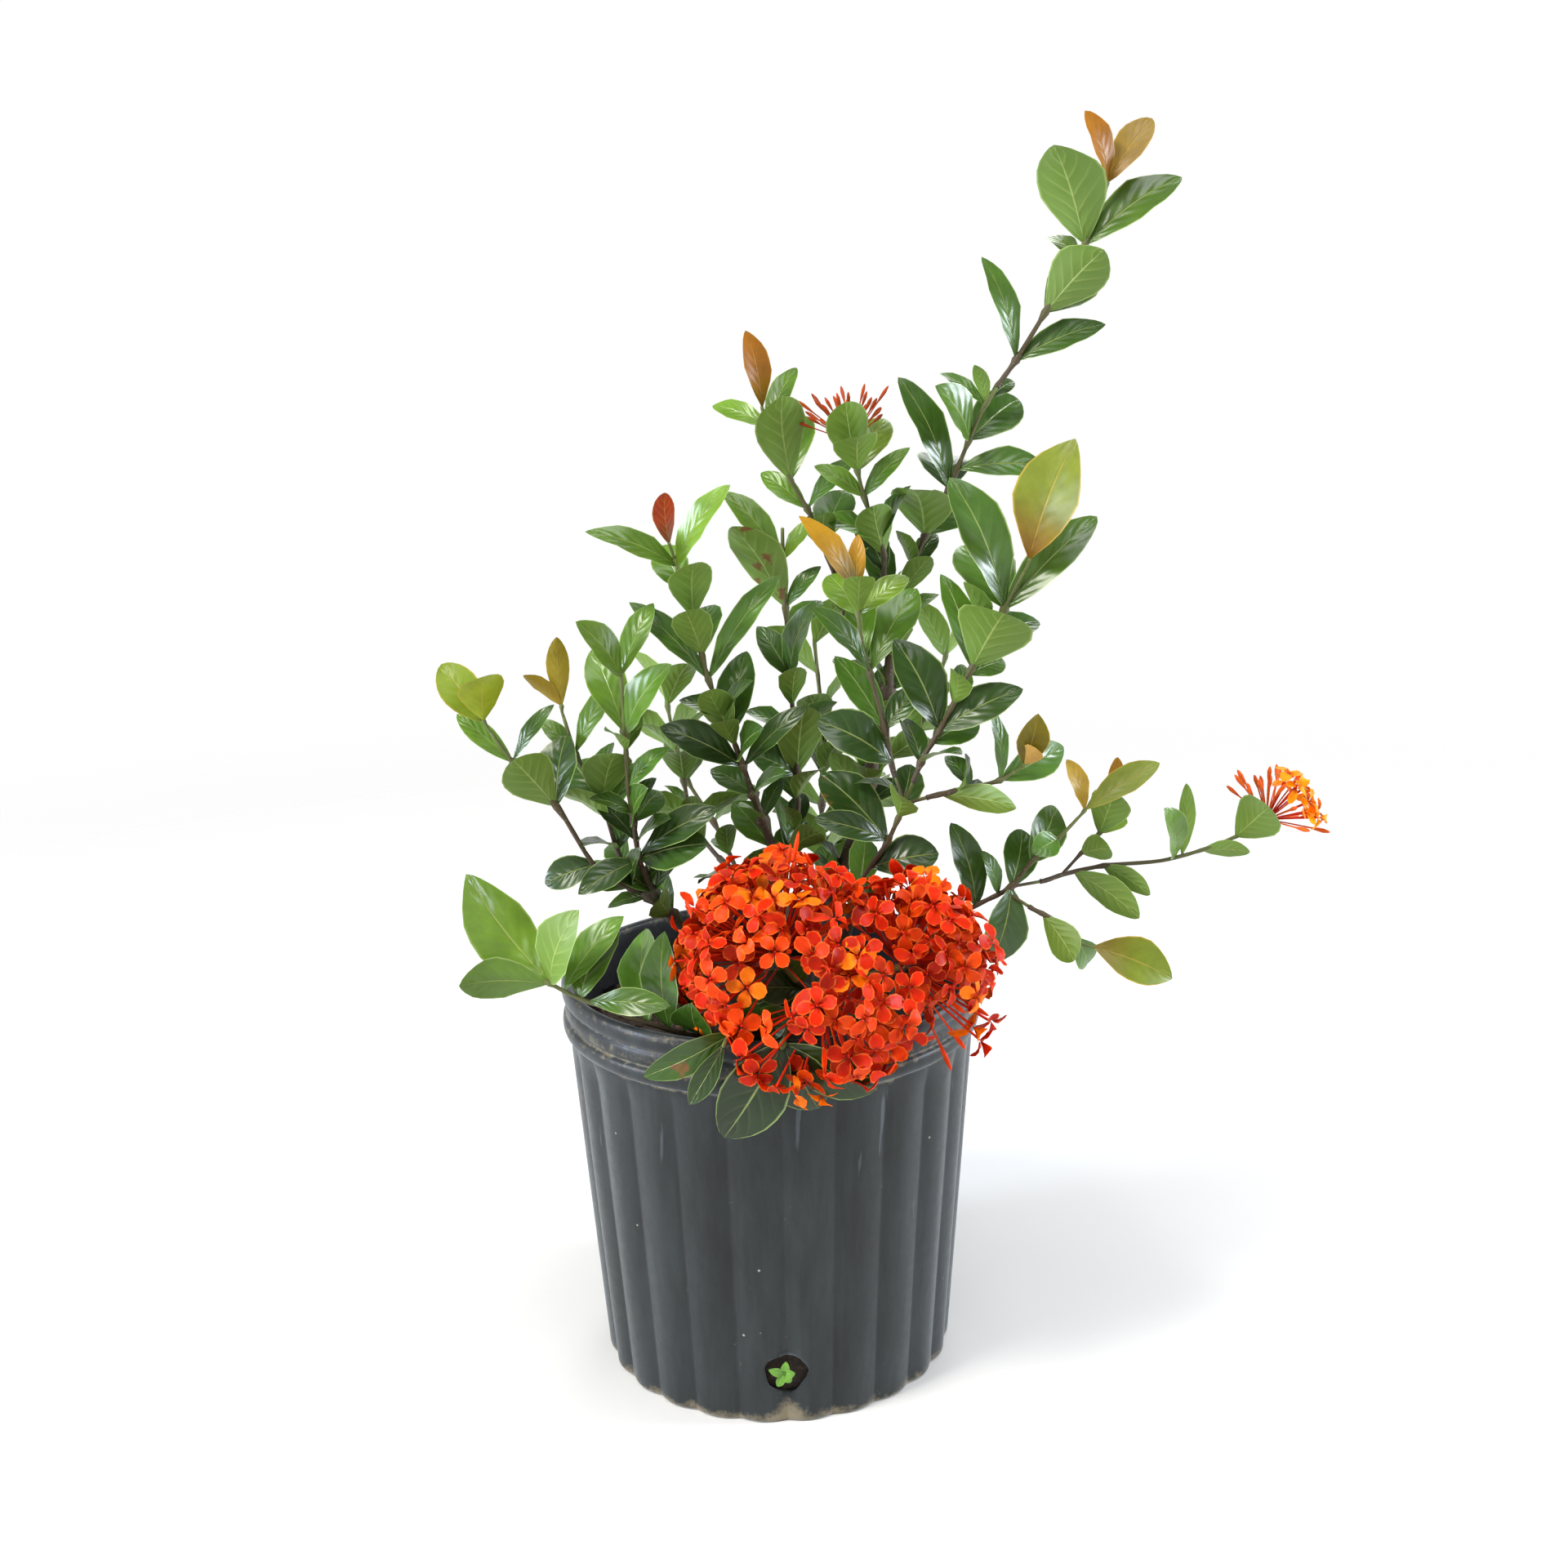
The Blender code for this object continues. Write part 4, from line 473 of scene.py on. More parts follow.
# leafy shoots: the cane or shoot and the end of it that each grows from, its stems after that point, and its
# leaves as (place along the first stem, tip from the leaf's root, width).
shoots = {
    "tall_shoot_lower": {
        "from": ("tall_cane", 0),
        "stems": [[(105, 30, 540), (120, 26, 570), (132, 22, 600), (141, 20, 620), (149, 20, 632)]],
        "leaves": [(1, (-10, -40, 35), 39), (1, (25, 35, 20), 31), (2, (-30, -5, 70), 23),
                   (2, (-5, 35, 20), 34), (2.4, (55, -5, 2), 21), (3, (-20, -30, 32), 31),
                   (3, (35, 25, 25), 29), (4.1, (-28, -5, 22), 11), (4.5, (20, 5, 12), 10)]},
    "tall_shoot_upper": {
        "from": ("tall_shoot_lower", 0),
        "stems": [[(160, 16, 648), (177, 12, 676), (200, 8, 715), (210, 6, 742)]],
        "leaves": [(1, (-20, -5, 62), 19), (1, (56, 5, 22), 19), (2, (30, -30, 36), 34),
                   (2, (32, 30, 26), 31), (2.8, (-15, 20, 15), 16), (3, (-24, -30, 56), 41),
                   (3, (58, 5, 40), 27)]},
    "bud_shoot": {
        "from": ("tall_cane", 1), "stems": [[(78, 15, 530), (65, 5, 568), (60, 1, 588)]],
        "leaves": [(1, (-10, -25, 38), 24), (2, (28, 0, 30), 13), (2, (-30, 0, 20), 13),
                   (2.9, (-10, -30, 38), 27), (2.9, (20, 22, 34), 24)]},
    "upper_left_shoot": {
        "from": ("tall_cane", 2),
        "stems": [[(54, 25, 492), (40, 20, 538), (30, 18, 560), (20, 15, 578), (5, 10, 616)]],
        "leaves": [(2, (15, 25, 32), 26), (3, (-30, -5, 24), 15), (3, (30, 0, 32), 14),
                   (4, (-6, -35, 54), 32), (4, (5, 32, 40), 29), (5, (-38, -5, 22), 14),
                   (5, (20, 5, 40), 15)]},
    "right_shoot_base": {
        "from": ("right_cane", 0),
        "stems": [[(75, -45, 360), (85, -50, 385), (90, -53, 399)],
                  [(85, -50, 385), (98, -56, 390)],
                  [(85, -50, 385), (80, -43, 400)]],
        "leaves": [(0.4, (40, -12, 10), 27), (1, (-45, -15, 20), 18), (1, (-40, 20, 40), 31)]},
    "right_shoot": {
        "from": ("right_shoot_base", 0),
        "stems": [[(95, -54, 412), (106, -56, 432), (125, -59, 470), (144, -62, 506), (155, -64, 528)]],
        "leaves": [(1.6, (30, 20, 12), 24), (2, (-25, 12, 55), 32), (2, (50, -5, 25), 24),
                   (2.9, (25, 20, 5), 16), (3, (15, -35, 40), 45), (3, (-15, 25, 55), 19),
                   (4, (-30, 5, 78), 33), (4, (-22, 30, 36), 38), (4, (58, 5, 54), 23)]},
    "side_shoot": {
        "from": ("right_shoot_base", 1), "stems": [[(125, -57, 396), (143, -56, 400), (152, -55, 405)]],
        "leaves": [(0.3, (50, -12, -2), 18), (1, (-14, 12, 18), 16), (2, (-5, 0, 46), 12),
                   (2, (54, 5, 16), 22)]},
    "centre_shoot": {
        "from": ("right_shoot_base", 2),
        "stems": [[(74, -40, 430), (65, -40, 465), (60, -40, 486), (58, -40, 506)]],
        "leaves": [(0.3, (-45, -8, 30), 31), (1, (-30, 15, 45), 21), (1, (25, 15, 25), 18),
                   (2, (-35, -5, 46), 17), (2, (34, 5, 54), 26), (4, (0, -25, 34), 19),
                   (4, (-20, 20, 26), 23), (4, (30, 5, 22), 16)]},
    "middle_shoot": {
        "from": ("middle_cane", 0),
        "stems": [[(-14, -14, 402), (-21, -18, 424), (-34, -22, 460), (-42, -26, 500), (-52, -29, 536)]],
        "leaves": [(1, (-50, -10, 30), 25), (1, (40, -5, 40), 15), (1.2, (15, -32, 34), 24),
                   (2, (-14, -22, 34), 21), (2, (10, 20, 50), 24), (3, (-46, -5, 50), 17),
                   (3, (44, 5, 64), 17), (4, (2, -30, 38), 27), (4.4, (-16, 20, 28), 22),
                   (5, (-36, -5, 48), 19), (5, (14, 5, 60), 19)]},
    "inner_shoot": {
        "from": ("middle_cane", 1),
        "stems": [[(20, 10, 390), (17, 6, 455), (15, 4, 500), (14, 1, 530), (14, 0, 550)]],
        "leaves": [(1, (5, -30, 50), 30), (1, (-28, -12, 16), 23), (2, (14, -22, 50), 22),
                   (2, (-20, 12, 32), 19), (3, (-32, -22, 58), 31), (3, (22, 0, 26), 12),
                   (4, (-36, 8, 44), 19), (4, (20, -5, 26), 12)]},
    "left_middle_shoot": {
        "from": ("left_cane", 2),
        "stems": [[(-84, -24, 370), (-86, -30, 395), (-86, -34, 430), (-87, -37, 470)]],
        "leaves": [(0.3, (50, -16, 34), 22), (0.2, (35, -32, 12), 31), (0.2, (-40, -22, -14), 19),
                   (1, (10, -24, 28), 26), (1, (16, 20, 16), 22), (2, (26, -5, 26), 14),
                   (3, (30, -16, 48), 26), (3, (-20, 20, 50), 24), (4, (-22, -20, 38), 24),
                   (4, (20, 12, 44), 17)]},
    "far_left_shoot": {
        "from": ("left_cane", 1), "stems": [[(-130, -38, 385), (-155, -42, 415), (-167, -45, 435)]],
        "leaves": [(0.2, (-32, -14, -10), 21), (1, (-22, -26, 38), 32), (1, (5, 26, 38), 29),
                   (2, (-36, -5, 30), 14), (2, (26, 0, 36), 11)]},
    "left_shoot": {
        "from": ("left_cane", 0), "stems": [[(-104, -14, 380), (-119, -18, 414), (-125, -20, 438)]],
        "leaves": [(1, (10, -32, 34), 31), (1, (-20, 26, 22), 28), (2, (26, 0, 45), 16),
                   (2, (-22, 0, 22), 12)]},
    "rim_shoot": {
        "from": ("front_left_cane", 0),
        "stems": [[(-44, -91, 252), (-74, -96, 263), (-96, -96, 272), (-120, -92, 281), (-137, -89, 290)]],
        "leaves": [(0.7, (-10, -22, 40), 29), (1.3, (8, 5, 42), 15), (1.6, (5, 16, 60), 26),
                   (2, (-5, 26, 56), 32), (3.6, (50, -20, 4), 17), (3.8, (20, 25, 42), 31),
                   (4.3, (36, 10, 44), 22), (5, (-50, 12, 66), 41), (5, (20, -26, 54), 32),
                   (5, (-54, -12, 8), 27)]},
    "front_shoot_left": {
        "from": ("front_cane", 0), "stems": [[(-22, -124, 271), (-28, -142, 266)]],
        "leaves": [(1.4, (-50, -14, -20), 19), (2, (-22, -12, -34), 14)]},
    "front_shoot_right": {
        "from": ("front_cane", 1), "stems": [[(10, -124, 271), (6, -143, 264)]],
        "leaves": [(2, (-36, -8, -56), 38)]},
    "lower_right_shoot": {
        "from": ("far_right_cane", 0),
        "stems": [[(154, -31, 324), (166, -32, 340), (183, -32, 355), (195, -32, 368)],
                  [(154, -31, 324), (173, -25, 325)],
                  [(150, -31, 321), (164, -38, 313)]],
        "leaves": [(0.2, (-14, 5, 54), 23), (1, (-12, -22, -44), 31), (0.7, (-10, -5, 30), 12),
                   (1, (10, 22, 32), 24), (2, (20, 26, 30), 25), (3, (-18, -16, -4), 17)]},
    "far_right_shoot": {
        "from": ("lower_right_shoot", 1),
        "stems": [[(188, -18, 327), (216, -10, 330), (255, -5, 331), (282, 0, 336), (310, 5, 345)],
                  [(188, -18, 327), (201, -14, 340), (216, -10, 355)]],
        "leaves": [(1.3, (40, -16, -26), 21), (2, (30, -10, -16), 14), (3.3, (-10, -20, 38), 25),
                   (3.5, (5, 12, 45), 11), (4, (30, -5, 0), 12), (4.8, (16, -24, 34), 31)],
        "branch_leaves": [(1, (16, -18, 8), 19), (2, (5, -22, 34), 26), (2, (26, 16, 20), 23)]},
    "drooping_shoot": {
        "from": ("lower_right_shoot", 2), "stems": [[(181, -41, 304), (196, -45, 291)]],
        "leaves": [(0.5, (20, -16, -28), 22), (2, (15, -10, -30), 18)]},
    "back_left_shoot": {
        "from": ("middle_cane", 2),
        "stems": [[(-50, 60, 345), (-56, 64, 375), (-62, 68, 405), (-66, 70, 430)]],
        "leaves": [(1, (-34, -10, 24), 21), (1, (32, 6, 20), 19), (2, (0, -30, 28), 24),
                   (2, (-8, 34, 24), 24), (4, (-22, 20, 34), 20), (4, (16, -22, 34), 22)]},
    "back_middle_shoot": {
        "from": ("tall_cane", 3), "stems": [[(38, 84, 350), (40, 90, 400), (37, 95, 440), (35, 100, 465)]],
        "leaves": [(1, (36, 14, 22), 22), (1, (-36, 10, 18), 22), (2, (-10, -28, 34), 24),
                   (2, (12, 36, 26), 24), (3, (-34, 4, 34), 22), (4, (20, -24, 36), 22)]},
    "back_right_shoot": {
        "from": ("tall_cane", 4),
        "stems": [[(84, 78, 384), (104, 84, 400), (118, 90, 430), (126, 94, 455)]],
        "leaves": [(1, (26, -24, 20), 21), (1, (-10, 38, 20), 22), (2, (40, 10, 10), 21),
                   (2, (-32, 12, 32), 22), (4, (-20, 0, 40), 20), (4, (32, 8, 34), 18)]},
    "low_back_left_shoot": {
        "from": ("back_cane", 0), "stems": [[(-38, 106, 334), (-56, 116, 362), (-66, 122, 388)]],
        "leaves": [(1, (-40, 2, 10), 24), (1, (30, 28, 18), 24), (2, (-14, 38, 22), 26),
                   (2, (6, -30, 30), 24), (3, (-34, -4, 30), 22), (3, (20, 22, 36), 22)]},
    "low_back_right_shoot": {
        "from": ("back_cane", 1), "stems": [[(42, 112, 316), (62, 124, 338), (74, 130, 362)]],
        "leaves": [(1, (38, -14, 14), 24), (1, (-26, 32, 14), 24), (2, (24, 34, 16), 26),
                   (2, (-8, -30, 32), 24), (3, (34, 2, 30), 22), (3, (-20, 24, 36), 22)]},
}

# soft new growth at the shoot tips, a node for each tip because its colour differs from its shoot's: bronze,
# or young_leaf where it says so
tips = {
    "tall_tip": {"from": ("tall_shoot_upper", 0), "stems": [[(212, 5, 751)]],
                 "leaves": [(1, (-14, -10, 40), 18), (1, (28, 10, 38), 19)]},
    "upper_left_tip": {"from": ("upper_left_shoot", 0), "stems": [[(3, 9, 624)]],
                       "leaves": [(1, (-8, -10, 46), 17)]},
    "centre_tip": {"from": ("centre_shoot", 0), "stems": [[(57, -41, 516)]],
                   "leaves": [(1, (-32, -12, 48), 17), (1, (2, 8, 34), 11)]},
    "right_tip": {"from": ("right_shoot", 0), "stems": [[(158, -65, 536)]], "colour": "young_leaf",
                  "leaves": [(1, (22, -15, 70), 40)]},
    "side_tip": {"from": ("side_shoot", 0), "stems": [[(158, -56, 410)]],
                 "leaves": [(1, (8, -5, 32), 20), (1, (6, -16, 14), 13)]},
    "middle_tip": {"from": ("middle_shoot", 0), "stems": [[(-55, -30, 546)]],
                   "leaves": [(1, (-2, -8, 32), 14)]},
    "far_left_tip": {"from": ("far_left_shoot", 0), "stems": [[(-171, -46, 443)]], "colour": "young_leaf",
                     "leaves": [(1, (-26, 12, 34), 24), (1, (6, -26, 34), 28)]},
    "left_tip": {"from": ("left_shoot", 0), "stems": [[(-126, -20, 446)]],
                 "leaves": [(1, (0, -10, 46), 14), (1, (-22, -5, 24), 11)]},
    "lower_right_tip": {"from": ("lower_right_shoot", 0), "stems": [[(200, -32, 374)]],
                        "leaves": [(1, (-10, 5, 32), 14), (1, (46, -5, 30), 18)]},
    "short_branch_tip": {"from": ("far_right_shoot", 1), "stems": [[(220, -9, 364)]],
                         "leaves": [(1, (4, -4, 40), 11)]},
    "drooping_tip": {"from": ("drooping_shoot", 0), "stems": [[(205, -47, 288)]], "colour": "young_leaf",
                     "leaves": [(1, (50, -6, -20), 29)]},
}

# the flower cluster: three domes that run into each other. Each has the cane's end that carries it, its
# middle, the way it faces, its radius, how far round it is covered (degrees), its florets and its core's
# radius
domes = {
    "left_dome": {"from": ("flower_cane", 0), "centre": (5, -95, 304), "facing": (-0.20, -0.35, 0.92),
                  "radius": 62, "cap": 100, "florets": 108, "core": 35},
    "right_dome": {"from": ("flower_cane", 1), "centre": (80, -95, 296), "facing": (0.35, -0.35, 0.87),
                   "radius": 55, "cap": 100, "florets": 90, "core": 28},
    "low_dome": {"from": ("flower_cane", 2), "centre": (32, -118, 286), "facing": (0.05, -0.95, -0.30),
                 "radius": 57, "cap": 72, "florets": 62, "core": 22},
}
budHead = {"from": ("bud_shoot", 0), "centre": (57, 2, 602), "facing": (-0.15, 0.05, 0.99), "length": 34,
           "cap": 62}
sideHead = {"from": ("far_right_shoot", 0), "centre": (325, 6, 354), "facing": (0.45, -0.10, 0.89),
            "length": 36, "cap": 66}

# the seedling that sprouts through the front drainage hole: ends of its stem, its leaves as (tip, width), and
# the length each is drawn at as a share of that
seedling = {"root": (4, -108, 34), "top": (3, -119, 37), "radius": 0.9, "green": "#5a8a28",
            "leaves": [((-9, -3, 4), 6), ((1, -2, 9), 6), ((8, -4, 2), 6), ((5, -3, -7), 6),
                       ((-5, -3, -8), 6)], "reaches": (1.1, 1.0, 0.8, 0.75, 0.95)}

print("stage 3: stems and leaves")


def unit(v):
    # each vector divided by its length
    return v / np.maximum(np.linalg.norm(v, axis=-1, keepdims=True), 1e-12)


def ringFaces(rings, sides, count=1):
    # faces of `count` closed shapes, each of `rings` rings of `sides` points and then a pole before and one
    # after. A quad is split at its first corner: every other quarter of the way round starts one corner on,
    # so a thin blade's two skins bend along the same lines and don't cut through each other
    ring, side = np.meshgrid(np.arange(rings - 1), np.arange(sides), indexing="ij")
    after = (side + 1) % sides
    quads = np.stack([ring * sides + side, ring * sides + after, (ring + 1) * sides + after,
                      (ring + 1) * sides + side], -1).reshape(-1, 4)
    odd = (side * 4 // sides % 2 == 1).reshape(-1, 1)
    quads = np.where(odd, np.roll(quads, -1, axis=1), quads)
    around = np.arange(sides)
    onward = (around + 1) % sides
    start, end = rings * sides, rings * sides + 1
    last = (rings - 1) * sides
    tris = np.concatenate([np.stack([np.full(sides, start), onward, around], -1),
                           np.stack([np.full(sides, end), last + around, last + onward], -1)])
    shift = np.arange(count)[:, None, None] * (rings * sides + 2)
    return [(quads[None] + shift).reshape(-1, 4), (tris[None] + shift).reshape(-1, 3)]


def closedShapes(rings, first, last):
    # rings (count, rings, sides, 3) and the two poles (count, 3), laid out as ringFaces expects
    count = len(rings)
    return np.concatenate([rings.reshape(count, -1, 3), first[:, None], last[:, None]], 1).reshape(-1, 3)


def withAlpha(colours, alpha=1.0):
    # (r, g, b, alpha) for each colour
    return np.concatenate([colours, np.full((len(colours), 1), alpha)], 1)


def squareTo(way):
    # two directions square to each way, right-handed: side x up = way
    helper = np.where(np.abs(way[:, 2:]) < 0.9, [[0.0, 0.0, 1.0]], [[1.0, 0.0, 0.0]])
    side = unit(np.cross(helper, way))
    return side, np.cross(way, side)


def smoothPath(points, steps=4, ease=0.8):
    # Hermite curve: at each point it heads the way between its neighbours, by `ease` of the next stretch
    p = np.asarray(points, float)
    stretch = np.diff(p, axis=0)
    length = np.linalg.norm(stretch, axis=1, keepdims=True)
    way = stretch / length
    heading = unit(np.concatenate([way[:1], way[:-1] + way[1:], way[-1:]]))
    t = (np.arange(steps) / steps)[None, :, None]
    a, b = p[:-1, None], p[1:, None]
    ma, mb = (heading[:-1] * length * ease)[:, None], (heading[1:] * length * ease)[:, None]
    curve = ((2 * t**3 - 3 * t**2 + 1) * a + (t**3 - 2 * t**2 + t) * ma
             + (3 * t**2 - 2 * t**3) * b + (t**3 - t**2) * mb)
    return np.concatenate([curve.reshape(-1, 3), p[-1:]])


def sweep(path, radius, sides):
    # a round tube along the path: radius * (cos a * side + sin a * up) about each point, closed by a pole
    # at each end; its uv is round the tube (0 to 1 and back) and along it in metres
    heading = unit(np.gradient(path, axis=0))
    mean = unit(path[-1] - path[0])
    guide = np.eye(3)[np.argmin(np.abs(mean))]
    up = unit(guide - heading * (heading @ guide)[:, None])
    side = np.cross(up, heading)
    angle = np.arange(sides) * 2 * math.pi / sides
    rings = path[:, None] + radius[:, None, None] * (np.cos(angle)[None, :, None] * side[:, None]
                                                     + np.sin(angle)[None, :, None] * up[:, None])
    travel = np.concatenate([[0.0], np.cumsum(np.linalg.norm(np.diff(path, axis=0), axis=1))])
    around = np.abs(np.arange(sides) * 2 / sides - 1)
    uv = np.stack([np.tile(around, len(path)), np.repeat(travel, sides)], -1)
    first, last = path[:1] - heading[:1] * radius[0] * 0.4, path[-1:] + heading[-1:] * radius[-1] * 0.6
    return {"points": closedShapes(rings[None], first, last), "faces": ringFaces(len(path), sides),
            "uv": np.concatenate([uv, [[0.5, 0.0], [0.5, travel[-1]]]])}


def fill(items, key, values, kind=np.float32):
    # sets a property of all the items at once
    items.foreach_set(key, values.astype(kind).ravel())


def putPiece(name, parts, materials, nodes):
    # joins parts into one mesh. A part has points, faces and material, and may have uv, tint, under, rim,
    # dusty and inside
    sizes = [len(p["points"]) for p in parts]
    starts = np.concatenate([[0], np.cumsum(sizes)])
    loops, corners, slots, under = [], [], [], []
    for part, start in zip(parts, starts):
        for k, faces in enumerate(part["faces"]):
            loops.append((faces + start).ravel())
            corners.append(np.full(len(faces), faces.shape[1]))
            slots.append(np.full(len(faces), part["material"]))
            under.append(part["under"][k] if "under" in part else np.zeros(len(faces)))
    loops, corners = np.concatenate(loops), np.concatenate(corners)
    mesh = bpy.data.meshes.new(name)
    mesh.vertices.add(starts[-1])
    fill(mesh.vertices, "co", np.concatenate([p["points"] for p in parts]))
    mesh.loops.add(len(loops))
    fill(mesh.loops, "vertex_index", loops, np.int32)
    mesh.polygons.add(len(corners))
    fill(mesh.polygons, "loop_start", np.cumsum(corners) - corners, np.int32)
    mesh.update(calc_edges=True)
    fill(mesh.polygons, "material_index", np.concatenate(slots), np.int32)
    fill(mesh.polygons, "use_smooth", np.ones(len(corners)), bool)
    uv = np.concatenate([p.get("uv", np.zeros((n, 2))) for p, n in zip(parts, sizes)])
    fill(mesh.uv_layers.new(name="surface").data, "uv", uv[loops])
    tint = np.concatenate([p.get("tint", np.ones((n, 4))) for p, n in zip(parts, sizes)])
    fill(mesh.attributes.new("tint", "FLOAT_COLOR", "POINT").data, "color", tint)
    fill(mesh.attributes.new("under", "FLOAT", "FACE").data, "value", np.concatenate(under))
    for key in ("dusty", "inside"):
        if key in parts[0]:
            values = np.concatenate([p.get(key, np.zeros(n)) for p, n in zip(parts, sizes)])
            fill(mesh.attributes.new(key, "FLOAT", "POINT").data, "value", values)
    # an edge between two rim points is sharp, so a thin blade isn't shaded round its edge
    rim = np.concatenate([p.get("rim", np.zeros(n, bool)) for p, n in zip(parts, sizes)])
    ends = np.empty(len(mesh.edges) * 2, np.int32)
    mesh.edges.foreach_get("vertices", ends)
    mesh.edges.foreach_set("use_edge_sharp", rim[ends].reshape(-1, 2).all(1))
    for material in materials:
        mesh.materials.append(material)
    item = bpy.data.objects.new(name, mesh)
    bpy.context.scene.collection.objects.link(item)
    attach(item, "root")
    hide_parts(*nodes)
    return item


# a leaf: bow, recurve and wave are shares of its length, breadth and edgeLift of its half width; turn is in
# degrees, and thick, stalk, stalkReach, fullStalk (the length of leaf with a full stalk), bushMiddle and the
# inner bush's width and height are in mm
leafForm = {"breadth": 1.04, "bow": 0.075, "edgeLift": 0.24, "recurve": 0.05, "wave": 0.016, "turn": 10.0,
            "thick": 0.46, "stalk": 0.85, "stalkReach": 3.5, "fullStalk": 40, "waves": 5.3,
            "obovate": (1.00, 1.38), "roundness": (0.60, 0.82), "broadTurn": 1.5, "outsideRise": 0.2,
            "leastView": (-0.6, -0.1), "innerWidth": (-100, 150), "innerHeight": (300, 470),
            "bushMiddle": 45, "along": (0.03, 0.10, 0.20, 0.33, 0.46, 0.59, 0.71, 0.82, 0.91, 0.965)}
leafAcross = np.array([1.0, 0.52, 0.0, -0.52, -1.0, -0.52, 0.0, 0.52])     # over the top and back underneath
leafAbove = np.array([0.0, 1.0, 1.0, 1.0, 0.0, -1.0, -1.0, -1.0])


def leafFrame(root, reach, stemWay, form):
    # the upper side faces the stem's tip, then the blade turns about its length to be seen broad from
    # outside the bush, from the front or from the back
    way = unit(reach)
    upper = stemWay - way * (way * stemWay).sum(1, keepdims=True)
    spare = np.array([0.0, -0.3, 1.0])
    spare = spare - way * (way @ spare)[:, None]
    upper = unit(np.where(np.linalg.norm(upper, axis=1, keepdims=True) < 0.2, spare, upper))
    front = np.where(root[:, 1] < form["bushMiddle"] * mm, -1.0, 1.0)[:, None]
    outside = front * [[0.0, 1.0, 0.0]] + [[0.0, 0.0, form["outsideRise"]]]
    broad = outside - way * (way * outside).sum(1, keepdims=True)
    seen = (upper * broad).sum(1, keepdims=True)
    # leaves inside the bush turn their upper side out more often than the upright ones round it
    (left, right), (low, high) = form["innerWidth"], form["innerHeight"]
    x, z = root[:, :1], root[:, 2:]
    inner = (x > left * mm) & (x < right * mm) & (z > low * mm) & (z < high * mm)
    least = np.where(inner, *form["leastView"])
    upper = unit(upper + np.where(seen < least, -broad, broad) * form["broadTurn"])
    return way, upper, np.cross(upper, way)


def makeBlades(root, reach, width, stemWay, tint, form, material):
    # a blade is a grid of (u along, s across), closed round its edge: half width = half * sin(pi u^p)^q;
    # middle line = root + way L u + upper L (bow sin(pi u) - recurve u^4); the edges rise by edgeLift half
    # |s| and wave by L wave sin(waves pi u + phase) s^2 sin(pi u); the skins lie half a thickness either side
    # and meet at the edge; the stalk thickens the foot, and the blade twists about its length by turn * (u
    # - 0.3)
    count = len(root)
    way, upper, side = leafFrame(root, reach, stemWay, form)
    length = np.linalg.norm(reach, axis=1)[:, None, None]
    p = rng.uniform(*form["obovate"], (count, 1, 1))
    q = rng.uniform(*form["roundness"], (count, 1, 1))
    phase = rng.uniform(0, 2 * math.pi, (count, 1, 1))
    turn = np.radians(rng.normal(0, form["turn"], (count, 1, 1)))
    u = np.array(form["along"])[None, :, None]
    s, above = leafAcross[None, None, :], leafAbove[None, None, :]
    stalk = form["stalk"] * mm * np.minimum(1.0, length / (form["fullStalk"] * mm))
    half = np.maximum(width[:, None, None] * form["breadth"] * 0.5 * np.sin(math.pi * u**p)**q,
                      stalk * (u < 0.2))
    twisted = turn * (u - 0.3)
    thick = (form["thick"] * mm * 0.5 + stalk * 0.8 * np.exp(-u * length / (form["stalkReach"] * mm))) * above
    out = half * s
    rise = (half * form["edgeLift"] * np.abs(s) + length * form["bow"] * np.sin(math.pi * u) - length
            * form["recurve"] * u**4 + length * form["wave"] * np.sin(form["waves"] * math.pi * u + phase)
            * s**2 * np.sin(math.pi * u) + thick)
    lifted = rise - length * form["bow"] * np.sin(math.pi * u)
    out, rise = out * np.cos(twisted) - lifted * np.sin(twisted) * 0.5, rise + out * np.sin(twisted)
    far = length * u
    rings = (root[:, None, None] + way[:, None, None] * far[..., None] + side[:, None, None] * out[..., None]
             + upper[:, None, None] * rise[..., None])
    tip = root + reach - upper * (length[:, 0] * form["recurve"])
    sides, steps = len(leafAcross), len(form["along"])
    shape = (count, steps, sides)
    uv = np.stack([np.broadcast_to(k, shape) for k in (u, 0.5 + 0.5 * s)], -1).reshape(count, -1, 2)
    uv = np.concatenate([uv, np.broadcast_to([[[0.0, 0.5], [1.0, 0.5]]], (count, 2, 2))], 1).reshape(-1, 2)
    rim = np.concatenate([np.tile(leafAbove == 0, steps), [True, True]])
    faces = ringFaces(steps, sides, count)
    lower = np.array([0.0, 0.0, 0.0, 0.0, 1.0, 1.0, 1.0, 1.0])
    under = [np.tile(lower, (steps - 1) * count), np.tile(lower, 2 * count)]
    return {"points": closedShapes(rings, root, tip), "faces": faces, "uv": uv, "under": under,
            "rim": np.tile(rim, count), "tint": blendTint(tint, form, uv, steps * sides + 2),
            "material": material}


def blendTint(tint, form, uv, size):
    # each leaf's own colour, reached from its foot's colour over footReach where the form gives one
    tint = np.repeat(tint, size, axis=0)
    if "foot" in form:
        first, last = form["footReach"]
        share = np.clip((uv[:, :1] - first) / (last - first), 0, 1)
        tint[:, :3] = form["foot"] + (tint[:, :3] - form["foot"]) * share**1.5
    return tint


ends, paths = {}, {}


def layStems(name, entry):
    # a shoot starts a hair beyond the end it grows from and runs straight for 3 mm, as its solid does
    stems = [np.array(stem, float) for stem in entry["stems"]]
    if "from" in entry:
        end, way = ends[entry["from"]]
        start = end + way * gap
        stems[0] = np.concatenate([[start, start + way * 3.0], stems[0]])
    paths[name] = stems
    for index, stem in enumerate(stems):
        ends[(name, index)] = (stem[-1], unit(stem[-1] - stem[-2]))


